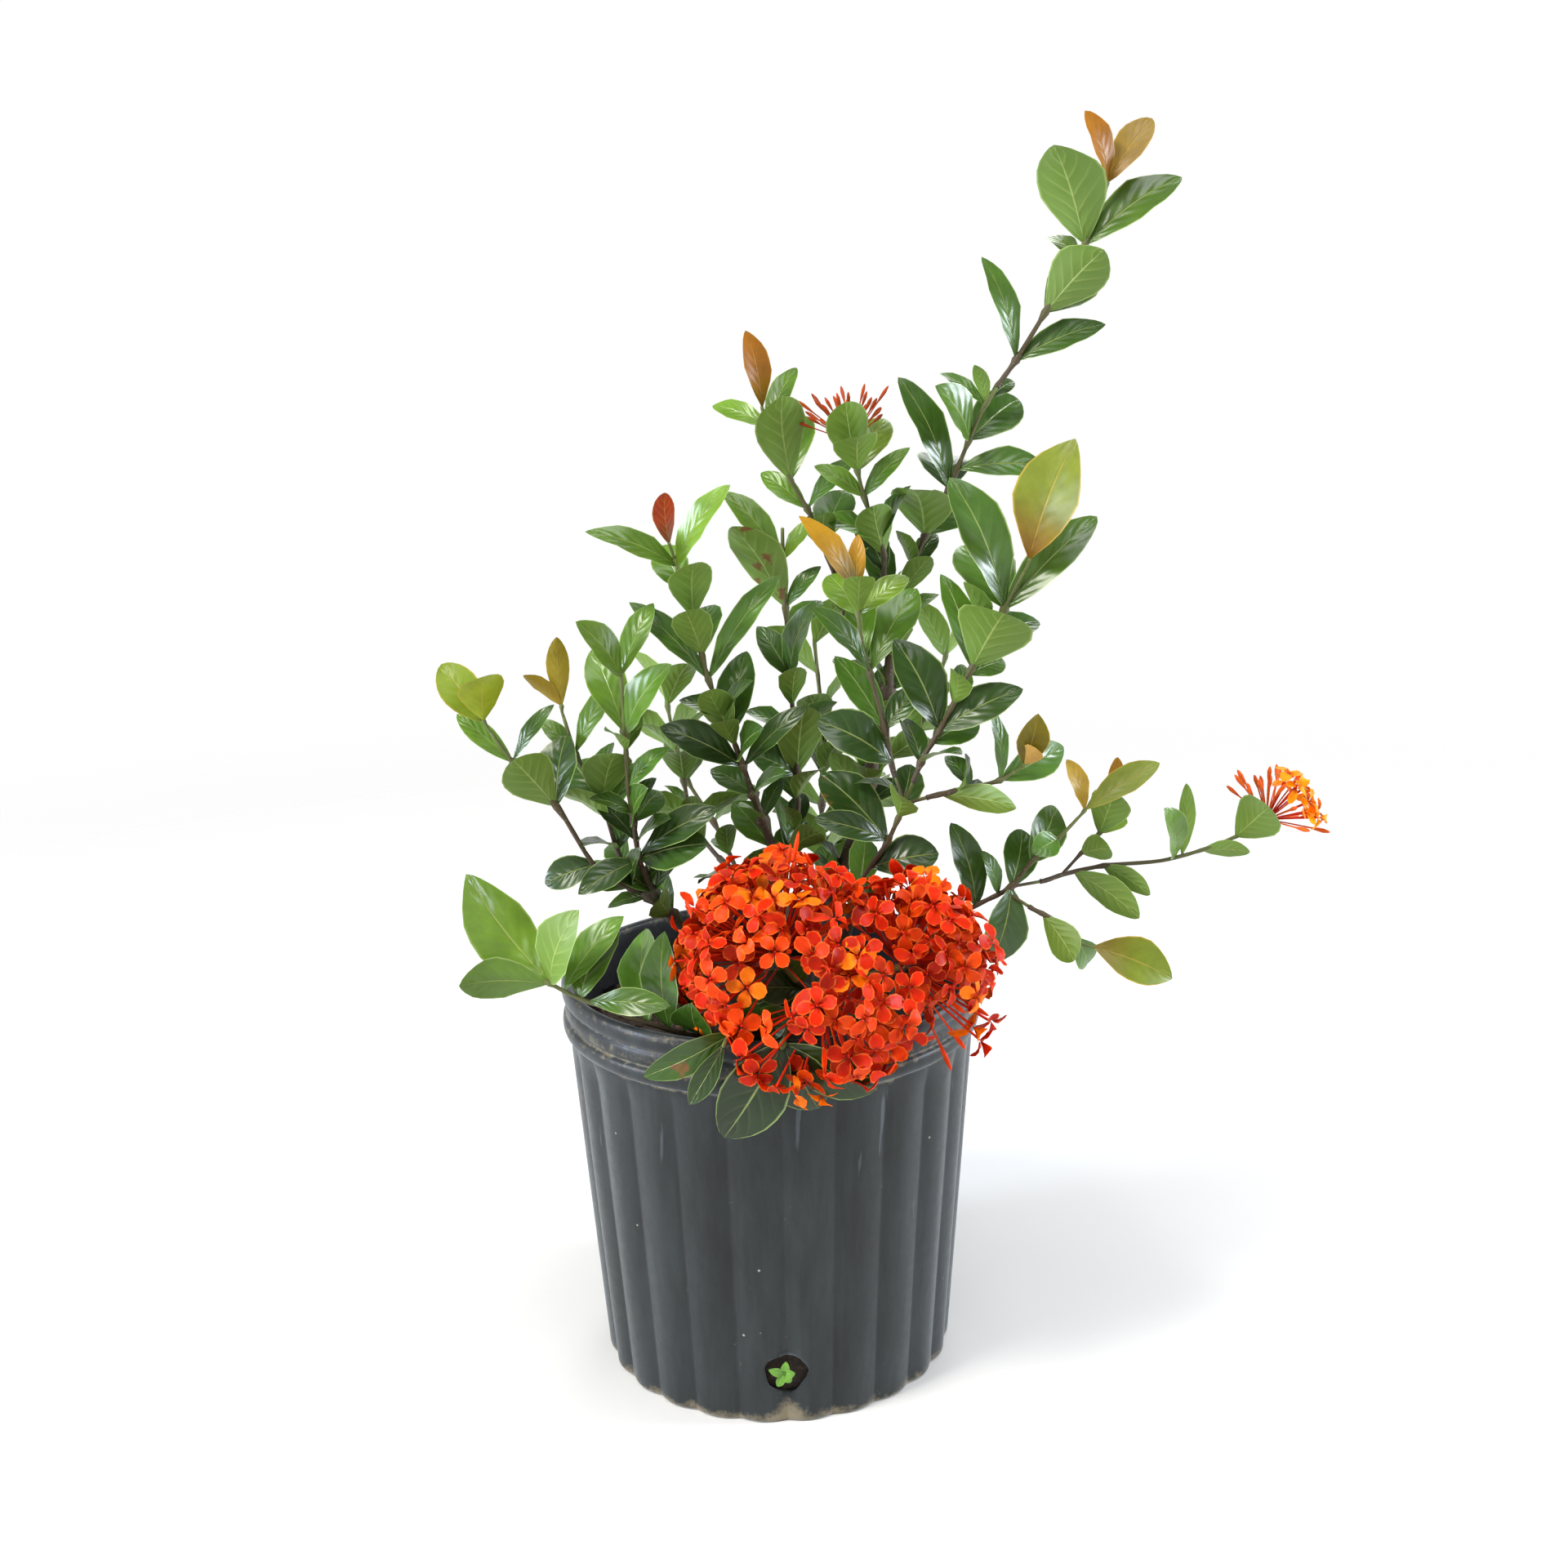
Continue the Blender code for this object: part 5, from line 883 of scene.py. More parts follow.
# how a leaf was turned in the solids until it cleared its neighbours: sizes, and mm sideways and in depth.
# Leaves start `room` from a stem's ends (`tipRoom` on a tip), and `near` is how close a tip must lie to the
# solid's corner
tried = {"scales": (1.0, 0.86, 0.72), "sideways": (0, 7, -7, 14, -14, 22, -22),
         "depths": (0, 6, -6, 12, -12, 18, -18, 25, -25, 32, -32), "room": 4.5, "tipRoom": 1.0, "near": 1.1}


def leafRoots(name, entry):
    # root, table reach, width, stem direction and place along the shoot of each leaf of a node
    rows = []
    for index, key in ((0, "leaves"), (1, "branch_leaves")):
        if key not in entry:
            continue
        stem = paths[name][index]
        stem = np.concatenate([stem[:1], stem[2:]]) if index == 0 and name not in canes else stem
        for at, reach, width in entry[key]:
            lower = min(int(at), len(stem) - 2)
            step = stem[lower + 1] - stem[lower]
            way = unit(step)
            root = stem[lower] + step * (at - lower)
            if np.linalg.norm(root - stem[0]) < tried["room"]:
                root = stem[0] + way * tried["room"]
            room = tried["room"] if name in shoots else tried["tipRoom"]
            if np.linalg.norm(root - stem[-1]) < room:
                root = stem[-1] - way * room
            rows.append((root, np.array(reach, float), width, way, at / (len(stem) - 1)))
    return rows


def settledReach(root, reach, corners):
    # of all the turns that were tried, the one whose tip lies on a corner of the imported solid
    across = unit(np.array([-reach[2], 0.0, reach[0]]))
    best, found, share = 1e9, reach, 1.0
    for scale in tried["scales"]:
        turns = [reach * scale + across * a + np.array([0.0, d, 0.0])
                 for a in tried["sideways"] for d in tried["depths"]]
        turns = unit(np.array(turns)) * np.linalg.norm(reach) * scale
        gaps = np.linalg.norm((root + turns)[:, None] - corners[None], axis=2).min(1)
        if gaps.min() < best - 0.25:
            best, found, share = gaps.min(), turns[gaps.argmin()], scale
    # a leaf that was made smaller to find room is drawn at its full size
    return found / share, best < tried["near"]


# leaf colours, above: old leaves dark and bluish, young ones at the shoots' ends paler and yellower
leafColours = {"old": "#263f13", "mid": "#3f611a", "fresh": "#597a1f", "young": "#758f25",
               "colourSpread": 0.20}
# shoots whose leaves are darker than their age, by this share of their colour: painted shade for the shade
# they lie in
paintedShadeShoots = {"front_shoot_right": 0.55, "front_shoot_left": 0.75, "right_shoot_base": 0.85,
              "tall_shoot_upper": 0.72}
# leaves with dry brown spots, by their place in the table
spottedLeaves = {"lower_right_shoot": (1,), "front_shoot_left": (0,), "right_shoot_base": (2,),
                 "inner_shoot": (4,)}
# how young the leaves at the foot and the end of a shoot are, from 0, old, to 1; the others run from 0 to .8
shootAges = {"front_shoot_left": (0.0, 0.15), "front_shoot_right": (0.0, 0.1), "rim_shoot": (0.2, 0.7),
             "lower_right_shoot": (0.1, 0.45), "far_right_shoot": (0.3, 0.7), "drooping_shoot": (0.3, 0.6),
             "right_shoot_base": (0.05, 0.35), "side_shoot": (0.2, 0.5), "tall_shoot_lower": (0.15, 0.4),
             "tall_shoot_upper": (0.25, 0.4), "right_shoot": (0.15, 0.5), "flower_cane": (0.0, 0.3),
             "front_cane": (0.0, 0.3)}
# new growth: the colour of each tip's leaves in turn, and the colour of their feet where it differs
tipColours = {"tall_tip": ("#8c580c", "#80682a"), "upper_left_tip": ("#a8690e",),
              "centre_tip": ("#ab7e16", "#a07414"), "right_tip": ("#677220",),
              "side_tip": ("#716506", "#c99f55"), "middle_tip": ("#8c2204",),
              "far_left_tip": ("#6b7e18", "#7b8b1a"), "left_tip": ("#8c7c20", "#86701a"),
              "lower_right_tip": ("#a0822a", "#7f8c34"), "short_branch_tip": ("#a87422",),
              "drooping_tip": ("#5c691b",)}
tipFeet = {"right_tip": "#785012", "drooping_tip": "#6a5a1c", "upper_left_tip": "#8a661c",
           "centre_tip": "#66561c", "tall_tip": "#7d5a18", "middle_tip": "#5c2a0c"}
# leaves that show their upper skin to the front though they hang or lean back, by their place in the table
turnedOver = {"rim_shoot": (7, 8, 9)}
# how far the leaves of a piece turn to be seen square on, where it differs from the others
squareOn = {"side_tip": 7.0}
# bark colours from old wood to soft growth, and how green a stem starts and ends
barkColours = {"old": "#4b3d33", "young": "#4d4128", "soft": "#66703a"}
stemForm = {"shootRadii": (1.8, 1.1), "tipRadii": (1.0, 0.8), "caneSides": 12, "shootSides": 8, "swell": 0.36,
            "swellReach": 2.2, "wobble": 0.07}


def stemParts(name, entry, roots):
    # a tube for each stem, swollen by 1 + swell * exp(-(distance / swellReach)^2) where each leaf grows
    parts = []
    old, young, soft = (linear(barkColours[k]) for k in ("old", "young", "soft"))
    woody = name in canes
    for index, stem in enumerate(paths[name]):
        path = smoothPath(stem, 6 if woody else 5)
        share = np.linspace(0, 1, len(path))
        thick = entry.get("radius", stemForm["tipRadii"] if name in tips else stemForm["shootRadii"])
        radius = thick[0] + (thick[1] - thick[0]) * share if index == 0 else np.full(len(path), thick[1])
        for root in roots:
            near = np.linalg.norm(path - root, axis=1)
            radius = radius * (1 + stemForm["swell"] * np.exp(-(near / stemForm["swellReach"])**2))
        radius = radius * (1 + stemForm["wobble"] * rng.normal(0, 0.5, len(path)))
        sides = stemForm["caneSides"] if woody else stemForm["shootSides"]
        tube = sweep(path * mm, radius * mm, sides)
        age = share if name in shoots else (share * 0.35 if woody else np.ones(len(path)))
        colour = (old + (young - old) * np.clip(age * 2, 0, 1)[:, None]
                  + (soft - young) * np.clip(age * 2 - 1, 0, 1)[:, None])
        tint = np.concatenate([colour, (1 - age)[:, None]], 1)
        tint = np.concatenate([np.repeat(tint, sides, axis=0), tint[:1], tint[-1:]])
        parts.append({**tube, "tint": tint, "material": 0})
    return parts


def leafTints(name, places):
    # a colour for each leaf, by its place along the shoot; alpha is 2, or .6 on a leaf that gets dry spots
    count = len(places)
    if name in tipColours:
        own = tipColours[name]
        colours = np.array([linear(own[min(i, len(own) - 1)]) for i in range(count)])
    else:
        steps = np.array([linear(leafColours[k]) for k in ("old", "mid", "fresh", "young")])
        first, last = shootAges.get(name, (0.0, 0.8))
        age = np.clip(first + (last - first) * places + rng.normal(0, 0.13, count), 0, 1) * 2.6
        low = np.clip(age.astype(int), 0, 2)
        colours = steps[low] + (steps[low + 1] - steps[low]) * (age - low)[:, None]
    spread = 1 + rng.normal(0, leafColours["colourSpread"], (count, 1))
    # painted shade: the leaves of some shoots are darkened
    colours = colours * spread * paintedShadeShoots.get(name, 1.0)
    spotted = np.isin(np.arange(count), spottedLeaves.get(name, ()))
    return np.concatenate([np.clip(colours, 0, 1), np.where(spotted, 0.60, 2.0)[:, None]], 1)


# leaves that the photograph shows and the solids leave out, in the same form as the shoots' own
addedLeaves = {"front_shoot_right": [(2, (20, -1, -42), 33), (2, (54, -4, -30), 28)],
               "tall_shoot_lower": [(4.2, (-8, -6, 24), 10)], "bud_shoot": [(2.8, (-9, -26, 44), 26)],
               "flower_cane": [(2.6, (-34, -12, 6), 22), (2.8, (-12, -24, 26), 20), (2.3, (-46, -8, -4), 24)],
               "front_cane": [(1.6, (-26, -6, 14), 20), (1.9, (18, -10, 18), 20), (1.8, (-4, -16, 26), 19)]}
# the small leaves that fill the bush low down, in opposite pairs on canes and the lower part of shoots (mm):
# their spacing and its first and last places, the part of the bush they fill, their size and how they lean
fillForm = {"spacing": 21.0, "first": 8.0, "last": 2.0, "low": 283.0, "high": 545.0, "left": -118.0,
            "right": 172.0, "share": 0.82, "length": (26.0, 46.0), "evenness": (0.85, 1.1),
            "broad": (0.42, 0.55), "forward": 0.45, "rise": (0.15, 0.85), "clearRoot": 7.0, "apart": 11.0,
            "rolls": 8, "upTo": 0.72, "middle": 0.55, "rimReach": 150, "rimTop": 275}
# their blades have 56 faces each
fillBlade = {**leafForm, "broadTurn": 0.4, "along": (0.04, 0.17, 0.37, 0.60, 0.80, 0.94)}
# balls round the flower heads that filling leaves keep out of: middle and radius
headBalls = [((5, -95, 304), 74), ((80, -95, 296), 68), ((32, -118, 286), 68), ((57, 2, 602), 40),
             ((325, 6, 354), 42)]


def fillLeaves(name, rows, centres):
    # for each place on the stem a pair of leaves, size * unit(out or -out + forward * way + rise * up), at
    # the roll about the stem that keeps them farthest from other leaves
    f = fillForm
    found = []
    for index, stem in enumerate(paths[name]):
        stem = stem if name in canes or index else np.concatenate([stem[:1], stem[2:]])
        lengths = np.linalg.norm(np.diff(stem, axis=0), axis=1)
        travel = np.concatenate([[0.0], np.cumsum(lengths)])
        reachable = travel[-1] * (1.0 if name in canes or index else f["upTo"])
        for far in np.arange(rng.uniform(f["first"], f["spacing"]), reachable - f["last"], f["spacing"]):
            k = min(int(np.searchsorted(travel, far)) - 1, len(lengths) - 1)
            way = unit(stem[k + 1] - stem[k])
            root = stem[k] + way * (far - travel[k])
            taken = [np.linalg.norm(row[0] - root) for row in rows]
            size = rng.uniform(*f["length"])
            inside = f["low"] < root[2] < f["high"] and f["left"] < root[0] < f["right"]
            if not inside or (taken and min(taken) < f["clearRoot"]):
                continue
            side, up = squareTo(way[None])
            best = []
            for roll in rng.uniform(0, math.pi, f["rolls"]):
                out = side[0] * math.cos(roll) + up[0] * math.sin(roll)
                tilt = rng.uniform(*f["rise"], 2)
                pair = [unit(out * s + way * f["forward"] + np.array([0.0, 0.0, t])) * size
                        * rng.uniform(*f["evenness"]) for s, t in zip((1, -1), tilt)]
                middles = root + np.array(pair) * f["middle"]
                gaps = np.linalg.norm(middles[:, None] - np.array(centres)[None], axis=2).min(1)
                best.append((pair, gaps))
            pair, gaps = max(best, key=lambda choice: choice[1].min())
            for reach, room in zip(pair, gaps):
                tip, middle = root + reach, root + reach * f["middle"]
                spots = np.array([tip, middle])
                clash = any(np.linalg.norm(spots - c, axis=1).min() < r for c, r in headBalls)
                low = tip[2] < f["rimTop"] and np.hypot(tip[0], tip[1]) < f["rimReach"]
                if room < f["apart"] or clash or low or rng.random() > f["share"]:
                    continue
                found.append((root, reach, size * rng.uniform(*f["broad"]), way,
                              0.05 + 0.5 * far / travel[-1]))
                centres.append(middle)
    return found


plant = {**canes, **shoots, **tips}
kept = dropped = 0
allRoots = {}
leafMiddles = []
for name, entry in plant.items():
    layStems(name, entry)
for name, entry in plant.items():
    rows = leafRoots(name, entry)
    if rows:
        flat = np.empty(len(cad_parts[name].data.vertices) * 3, np.float32)
        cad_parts[name].data.vertices.foreach_get("co", flat)
        settled = [settledReach(row[0], row[1], flat.reshape(-1, 3) / mm) for row in rows]
        kept += sum(s[1] for s in settled)
        dropped += sum(not s[1] for s in settled)
        rows = [(row[0], s[0] if s[1] else row[1], *row[2:]) for row, s in zip(rows, settled)]
    rows += leafRoots(name, {"leaves": addedLeaves.get(name, [])})
    allRoots[name] = rows
    leafMiddles += [row[0] + row[1] * fillForm["middle"] for row in rows]
filled = 0
for name, entry in plant.items():
    rows = allRoots[name]
    if name not in tips:
        more = fillLeaves(name, rows, leafMiddles)
        filled += len(more)
        rows = rows + more
    parts = stemParts(name, entry, [row[0] for row in rows])
    if rows:
        root, reach = (np.array([row[k] for row in rows]) * mm for k in (0, 1))
        width = np.array([row[2] for row in rows], float) * mm
        stemWay = np.array([row[3] for row in rows])
        tint = leafTints(name, np.array([row[4] for row in rows]))
        form = {**leafForm, "broadTurn": squareOn.get(name, leafForm["broadTurn"])}
        if name in tipFeet:
            form = {**form, "foot": linear(tipFeet[name]), "footReach": (0.0, 0.5)}
        own = len(allRoots[name])
        for form, some in ((form, slice(0, own)), (fillBlade, slice(own, None))):
            if len(root[some]):
                values = (k[some] for k in (root, reach, width, stemWay, tint))
                parts.append(makeBlades(*values, form, 1))
        for leaf in turnedOver.get(name, ()):
            for skins in parts[-1 if own == len(rows) else -2]["under"]:
                each = len(skins) // own
                skins[leaf * each:(leaf + 1) * each] = 1 - skins[leaf * each:(leaf + 1) * each]
    skin = newLeafSkin if name in tips else leafSkin
    putPiece(f"{name}_growth", parts, [stemMaterial, skin] if rows else [stemMaterial], [name])
print("  leaves as in the solids:", kept, "at their table direction:", dropped, "filling the bush:", filled)

print("stage 4: flowers")

# a floret, in mm and degrees: its petals, how its tube leans, the depth of each of three layers, how far
# inside another dome it may stand, the radius and height of the rim that florets and buds clear, the stalks'
# radii, and the shares of a dome's core where tubes and buds start and of its radius where buds end
floretForm = {"petal": 12.4, "petalWidth": 9.8, "throat": 0.7, "cup": 1.5, "tip": 0.3, "droop": 12.0,
              "droopSpread": 17.0, "curl": 1.6, "thick": 0.45, "tilt": 29.0, "layer": 4.0, "hidden": 3.5,
              "tube": (0.72, 0.74, 0.95), "youngTube": (0.5, 0.55, 0.8), "sizes": (0.88, 1.06),
              "youngSizes": (0.62, 0.8), "rim": (140.2, 268.0), "budRim": (141.0, 268.0), "stalk": 2.0,
              "youngStalk": 1.4, "tubeRoot": 0.25, "budRoot": 0.3, "budReach": (0.80, 1.0)}
petalColours = {"red": "#d32802", "orangeRed": "#ea4604", "orange": "#fb7608", "deep": "#b81a01",
                "orangeShare": 0.11, "bud": "#e04008", "tube": "#d62c08", "layerPaintedShade": 0.16,
                "youngBud": "#9c3f16", "openingBud": "#d45a1a", "opening": ("#ff8c08", "#ffa412"),
                "stalk": "#8a7a3a"}
petalAlong = np.array([0.14, 0.38, 0.64, 0.87])
petalWide = np.array([0.40, 0.84, 1.0, 0.66])
petalAcross = np.array([1.0, 0.0, -1.0, 0.0])
petalAbove = np.array([0.0, 1.0, 0.0, -1.0])


def capWays(facing, cap, count, turn):
    # directions on a golden spiral over a cap of `cap` degrees about facing
    axis = unit(np.array(facing, float))
    helper = np.array([0.0, 0.0, 1.0]) if abs(axis[2]) < 0.9 else np.array([1.0, 0.0, 0.0])
    first = unit(np.cross(axis, helper))
    second = unit(np.cross(axis, first))
    index = np.arange(count)
    height = 1 - (1 - math.cos(math.radians(cap))) * (index + 0.5) / count
    ring = np.sqrt(np.maximum(0, 1 - height**2))
    angle = index * math.pi * (3 - math.sqrt(5)) + turn
    return unit(axis * height[:, None] + first * (ring * np.cos(angle))[:, None]
                + second * (ring * np.sin(angle))[:, None])


def makeFlorets(centre, way, turn, size, tint, form, material):
    # four petals a quarter turn apart, each a closed lens of (u along, s across): half width w(u), height
    # cup s^2 sin(pi u) + tip u^2 + curl sin(pi u) - far tan(droop) from the plane square to the floret's way
    count = len(centre)
    side, up = squareTo(way)
    droop = np.radians(rng.normal(form["droop"], form["droopSpread"], (count, 4, 1, 1)))
    curl = form["curl"] * rng.normal(0.4, 1.0, (count, 4, 1, 1))
    cup = form["cup"] * rng.uniform(0.5, 1.5, (count, 4, 1, 1))
    size = size[:, None, None, None]
    angle = (turn[:, None] + np.arange(4)[None] * math.pi / 2 + rng.normal(0, 0.09, (count, 4)))[..., None]
    out = np.cos(angle) * side[:, None] + np.sin(angle) * up[:, None]
    across = np.cross(way[:, None], out)
    u = petalAlong[None, None, :, None]
    s, above = petalAcross[None, None, None], petalAbove[None, None, None]
    wide = (petalWide[None, None, :, None] * form["petalWidth"] * 0.5 * size
            * rng.uniform(*form["sizes"], (count, 4, 1, 1)))
    far = (form["throat"] + (form["petal"] - form["throat"]) * u) * size + 0 * s
    rise = (cup * s**2 * np.sin(math.pi * np.minimum(u + 0.12, 0.9)) + form["tip"] * u**2
            - far * np.tan(droop) + curl * np.sin(math.pi * u) + above * form["thick"] * 0.5)
    rings = (centre[:, None, None, None] + out[:, :, None, None] * (far * mm)[..., None]
             + across[:, :, None, None] * (wide * s * mm)[..., None]
             + way[:, None, None, None] * (rise * mm)[..., None])
    throat, end = form["throat"] * size[:, :, 0], form["petal"] * size[:, :, 0]
    first = centre[:, None] + out * throat * mm - way[:, None] * (throat * np.tan(droop[:, :, 0]) * mm)
    last = (centre[:, None] + out * end * mm
            + way[:, None] * ((form["tip"] + cup[:, :, 0] * 0.3 - end * np.tan(droop[:, :, 0])) * mm))
    steps, sides = len(petalAlong), len(petalAcross)
    shape = (count * 4, steps, sides)
    uv = np.stack([np.broadcast_to(k, shape) for k in (petalAlong[:, None], 0.5 + 0.5 * petalAcross)], -1)
    uv = uv.reshape(count * 4, -1, 2)
    poles = np.broadcast_to([[[0.0, 0.5], [1.0, 0.5]]], (count * 4, 2, 2))
    uv = np.concatenate([uv, poles], 1).reshape(-1, 2)
    rim = np.concatenate([np.tile(petalAbove == 0, steps), [False, True]])
    return {"points": closedShapes(rings.reshape(count * 4, steps, sides, 3), first.reshape(-1, 3),
                                   last.reshape(-1, 3)),
            "faces": ringFaces(steps, sides, count * 4), "uv": uv, "rim": np.tile(rim, count * 4),
            "tint": np.repeat(tint, 4 * (steps * sides + 2), axis=0), "material": material}


def makeRods(start, end, places, radii, sides, tint, bend, uvFrom, uvTo, material):
    # thin round rods, such as tubes and buds: radii (mm) at places t along, bent sideways by bend * sin(pi t)
    count = len(start)
    way = unit(end - start)
    side, up = squareTo(way)
    t = np.array(places)[None, :, None]
    middle = start[:, None] + (end - start)[:, None] * t + (bend[:, None] * np.sin(math.pi * t))
    angle = np.arange(sides) * 2 * math.pi / sides
    spoke = np.cos(angle)[None, :, None] * side[:, None] + np.sin(angle)[None, :, None] * up[:, None]
    rings = middle[:, :, None] + spoke[:, None] * (np.array(radii) * mm)[None, :, None, None]
    along = uvFrom + (uvTo - uvFrom) * np.array(places)
    uv = np.stack([np.repeat(along, sides), np.full(len(places) * sides, 0.5)], -1)
    uv = np.tile(np.concatenate([uv, [[uvFrom, 0.5], [uvTo, 0.5]]]), (count, 1))
    return {"points": closedShapes(rings, start, end), "faces": ringFaces(len(places), sides, count),
            "uv": uv, "tint": np.repeat(tint, len(places) * sides + 2, axis=0), "material": material}


def petalTints(count, orange):
    # half the florets lie between red and orange-red, half between deep red and red, and a share is orange
    deep, red, orangeRed, bright = (linear(petalColours[k]) for k in ("deep", "red", "orangeRed", "orange"))
    pick = rng.random(count)[:, None]
    colour = np.where(pick < 0.5, red + (orangeRed - red) * pick * 2, deep + (red - deep) * (pick * 2 - 1))
    colour = np.where(rng.random((count, 1)) < orange, bright, colour)
    return withAlpha(colour * rng.uniform(0.80, 1.12, (count, 1)))


def clubBuds(base, tip, material, colour="bud", slim=1.0):
    # closed buds: a thin tube that swells to a club and ends in a blunt point
    count = len(base)
    tint = withAlpha(linear(petalColours[colour]) * rng.uniform(0.75, 1.15, (count, 1)))
    bend = squareTo(unit(tip - base))[0] * rng.normal(0, 1.0 * mm, (count, 1))
    radii = np.array([0.5, 0.5, 0.6, 1.25, 1.6, 0.95]) * slim
    places = (0.0, 0.35, 0.68, 0.78, 0.88, 0.96)
    return makeRods(base, tip, places, radii, 6, tint, bend, 0.15, 0.75, material)


def floretTubes(start, end, radii, bend):
    # the thin tube under each floret, in mm
    tint = np.tile([*linear(petalColours["tube"]), 1.0], (len(start), 1))
    return makeRods(start * mm, end * mm, (0.0, 0.5, 0.97), radii, 4, tint, bend * mm, 0.12, 0.3, 1)


def stalkPart(origin, centre, radius):
    # the flower stalk from the end that carries a head to the middle of the head
    end, way = ends[origin]
    start = end + way * gap
    path = smoothPath(np.array([start, start + way * 3.0, centre]), 6)
    tube = sweep(path * mm, np.full(len(path), radius * mm), 8)
    tint = np.tile([*linear(petalColours["stalk"]), 0.2], (len(tube["points"]), 1))
    return {**tube, "tint": tint, "material": 0}


# where the photograph shows a dome open, with the tubes inside it: ways from its middle, and degrees wide
hollows = {
    "left_dome": [((0.15, -0.98, -0.05), 11.0), ((-0.14, -0.98, 0.12), 12.0), ((0.0, -0.8, -0.6), 13.0)],
    "right_dome": [((0.62, -0.70, -0.36), 14.0)],
    "low_dome": [((-0.41, -0.88, -0.20), 30.0), ((-0.45, -0.78, 0.44), 17.0)],
}
# single florets that stand off a dome or close the gaps between domes, in mm from its middle
strayFlorets = {"left_dome": [(-48, -16, -36), (-53, -4, -30)],
                "right_dome": [(44, -22, -40), (52, -12, -32), (-26, -32, 8), (-18, -38, -4),
                               (-30, -25, 20), (-14, -40, 8), (-22, -30, 28)],
                "low_dome": [(-54, -24, -12), (-50, -32, -24), (-40, -40, -30), (-30, -42, -38),
                             (-58, -14, -2), (-46, -36, -33), (-18, -42, -44), (-2, -36, 42), (8, -34, 44),
                             (2, -44, 34), (18, -38, 38), (13, -42, 28), (-20, -52, 8), (-34, -44, -2),
                             (-12, -53, 2)],}
# single buds that stand out of a dome, in mm from its middle
strayBuds = {
    "left_dome": [(14, 3, 77), (-46, -10, -35), (9, -6, 72)],
    "right_dome": [(28, -17, -62), (37, -13, -50), (61, 3, 6), (18, 2, 60), (27, 4, 54), (52, -5, -32)],
    "low_dome": [(-60, -22, -8), (-20, -40, -44)],
}


def belowRim(place, rim):
    # whether sqrt(x^2 + y^2) is less than the rim's radius and z less than its height
    return (np.hypot(place[:, 0], place[:, 1]) < rim[0]) & (place[:, 2] < rim[1])


def inHollow(name, ways):
    # whether the angle between a way and the axis of one of the dome's hollows is less than its width
    inside = [ways @ unit(np.array(axis)) > math.cos(math.radians(wide)) for axis, wide in hollows[name]]
    return np.any(inside, 0)


clusterParts = []
for name, dome in domes.items():
    centre = np.array(dome["centre"], float)
    ways = capWays(dome["facing"], dome["cap"], dome["florets"], 0.4)
    index = np.arange(len(ways))
    far = dome["radius"] - floretForm["layer"] * (index % 3) + rng.normal(0, 1.0, len(ways))
    hidden = inHollow(name, ways)
    stray = np.array(strayFlorets[name], float)
    ways = np.concatenate([ways, unit(stray)])
    far = np.concatenate([far, np.linalg.norm(stray, axis=1)])
    hidden = np.concatenate([hidden, np.zeros(len(stray), bool)])
    index = np.arange(len(ways))
    place = centre + ways * far[:, None]
    keep = ~hidden
    for other, values in domes.items():
        if other != name:
            reach = np.linalg.norm(place - np.array(values["centre"]), axis=1)
            keep &= reach > values["radius"] - floretForm["hidden"]
    keep &= ~belowRim(place, floretForm["rim"])
    ways, place = ways[keep], place[keep]
    count = len(ways)
    tilt = rng.normal(0, math.radians(floretForm["tilt"]), (count, 2))
    side, up = squareTo(ways)
    facing = unit(ways + side * tilt[:, :1] + up * tilt[:, 1:])
    # orange florets are commoner round a dome's edge
    rimShare = np.where(ways @ unit(np.array(dome["facing"])) < 0.25, 3.0, 1.0)
    tint = petalTints(count, petalColours["orangeShare"] * rimShare[:, None])
    # florets of the deeper layers are darker: painted shade, where the outer florets shade them
    tint[:, :3] *= 1 - petalColours["layerPaintedShade"] * (index[keep] % 3)[:, None]
    clusterParts.append(stalkPart(dome["from"], centre, floretForm["stalk"]))
    turn, size = rng.uniform(0, 1.57, count), rng.uniform(*floretForm["sizes"], count)
    clusterParts.append(makeFlorets(place * mm, facing, turn, size, tint, floretForm, 1))
    start = centre + ways * dome["core"] * floretForm["tubeRoot"] + rng.normal(0, 2.0, (count, 3))
    bend = side * rng.normal(0, 1.4, (count, 1))
    clusterParts.append(floretTubes(start, place + facing * 0.9, floretForm["tube"], bend))
    # the buds that stand among the florets, then the ones that stand out
    budWays = capWays(dome["facing"], dome["cap"] * 0.97, dome["florets"] // 3, 2.2)
    budPlace = centre + budWays * (dome["radius"] * rng.uniform(*floretForm["budReach"], (len(budWays), 1)))
    clear = ~inHollow(name, budWays) & ~belowRim(budPlace, floretForm["budRim"])
    budWays, budPlace = budWays[clear], budPlace[clear]
    stray = np.array(strayBuds[name], float)
    root = dome["core"] * floretForm["budRoot"]
    clusterParts.append(clubBuds((centre + budWays * root) * mm, budPlace * mm, 1))
    clusterParts.append(clubBuds((centre + unit(stray) * root) * mm, (centre + stray) * mm, 1))
putPiece("flower_heads", clusterParts, [stemMaterial, petalSkin], ["flower_cluster"])


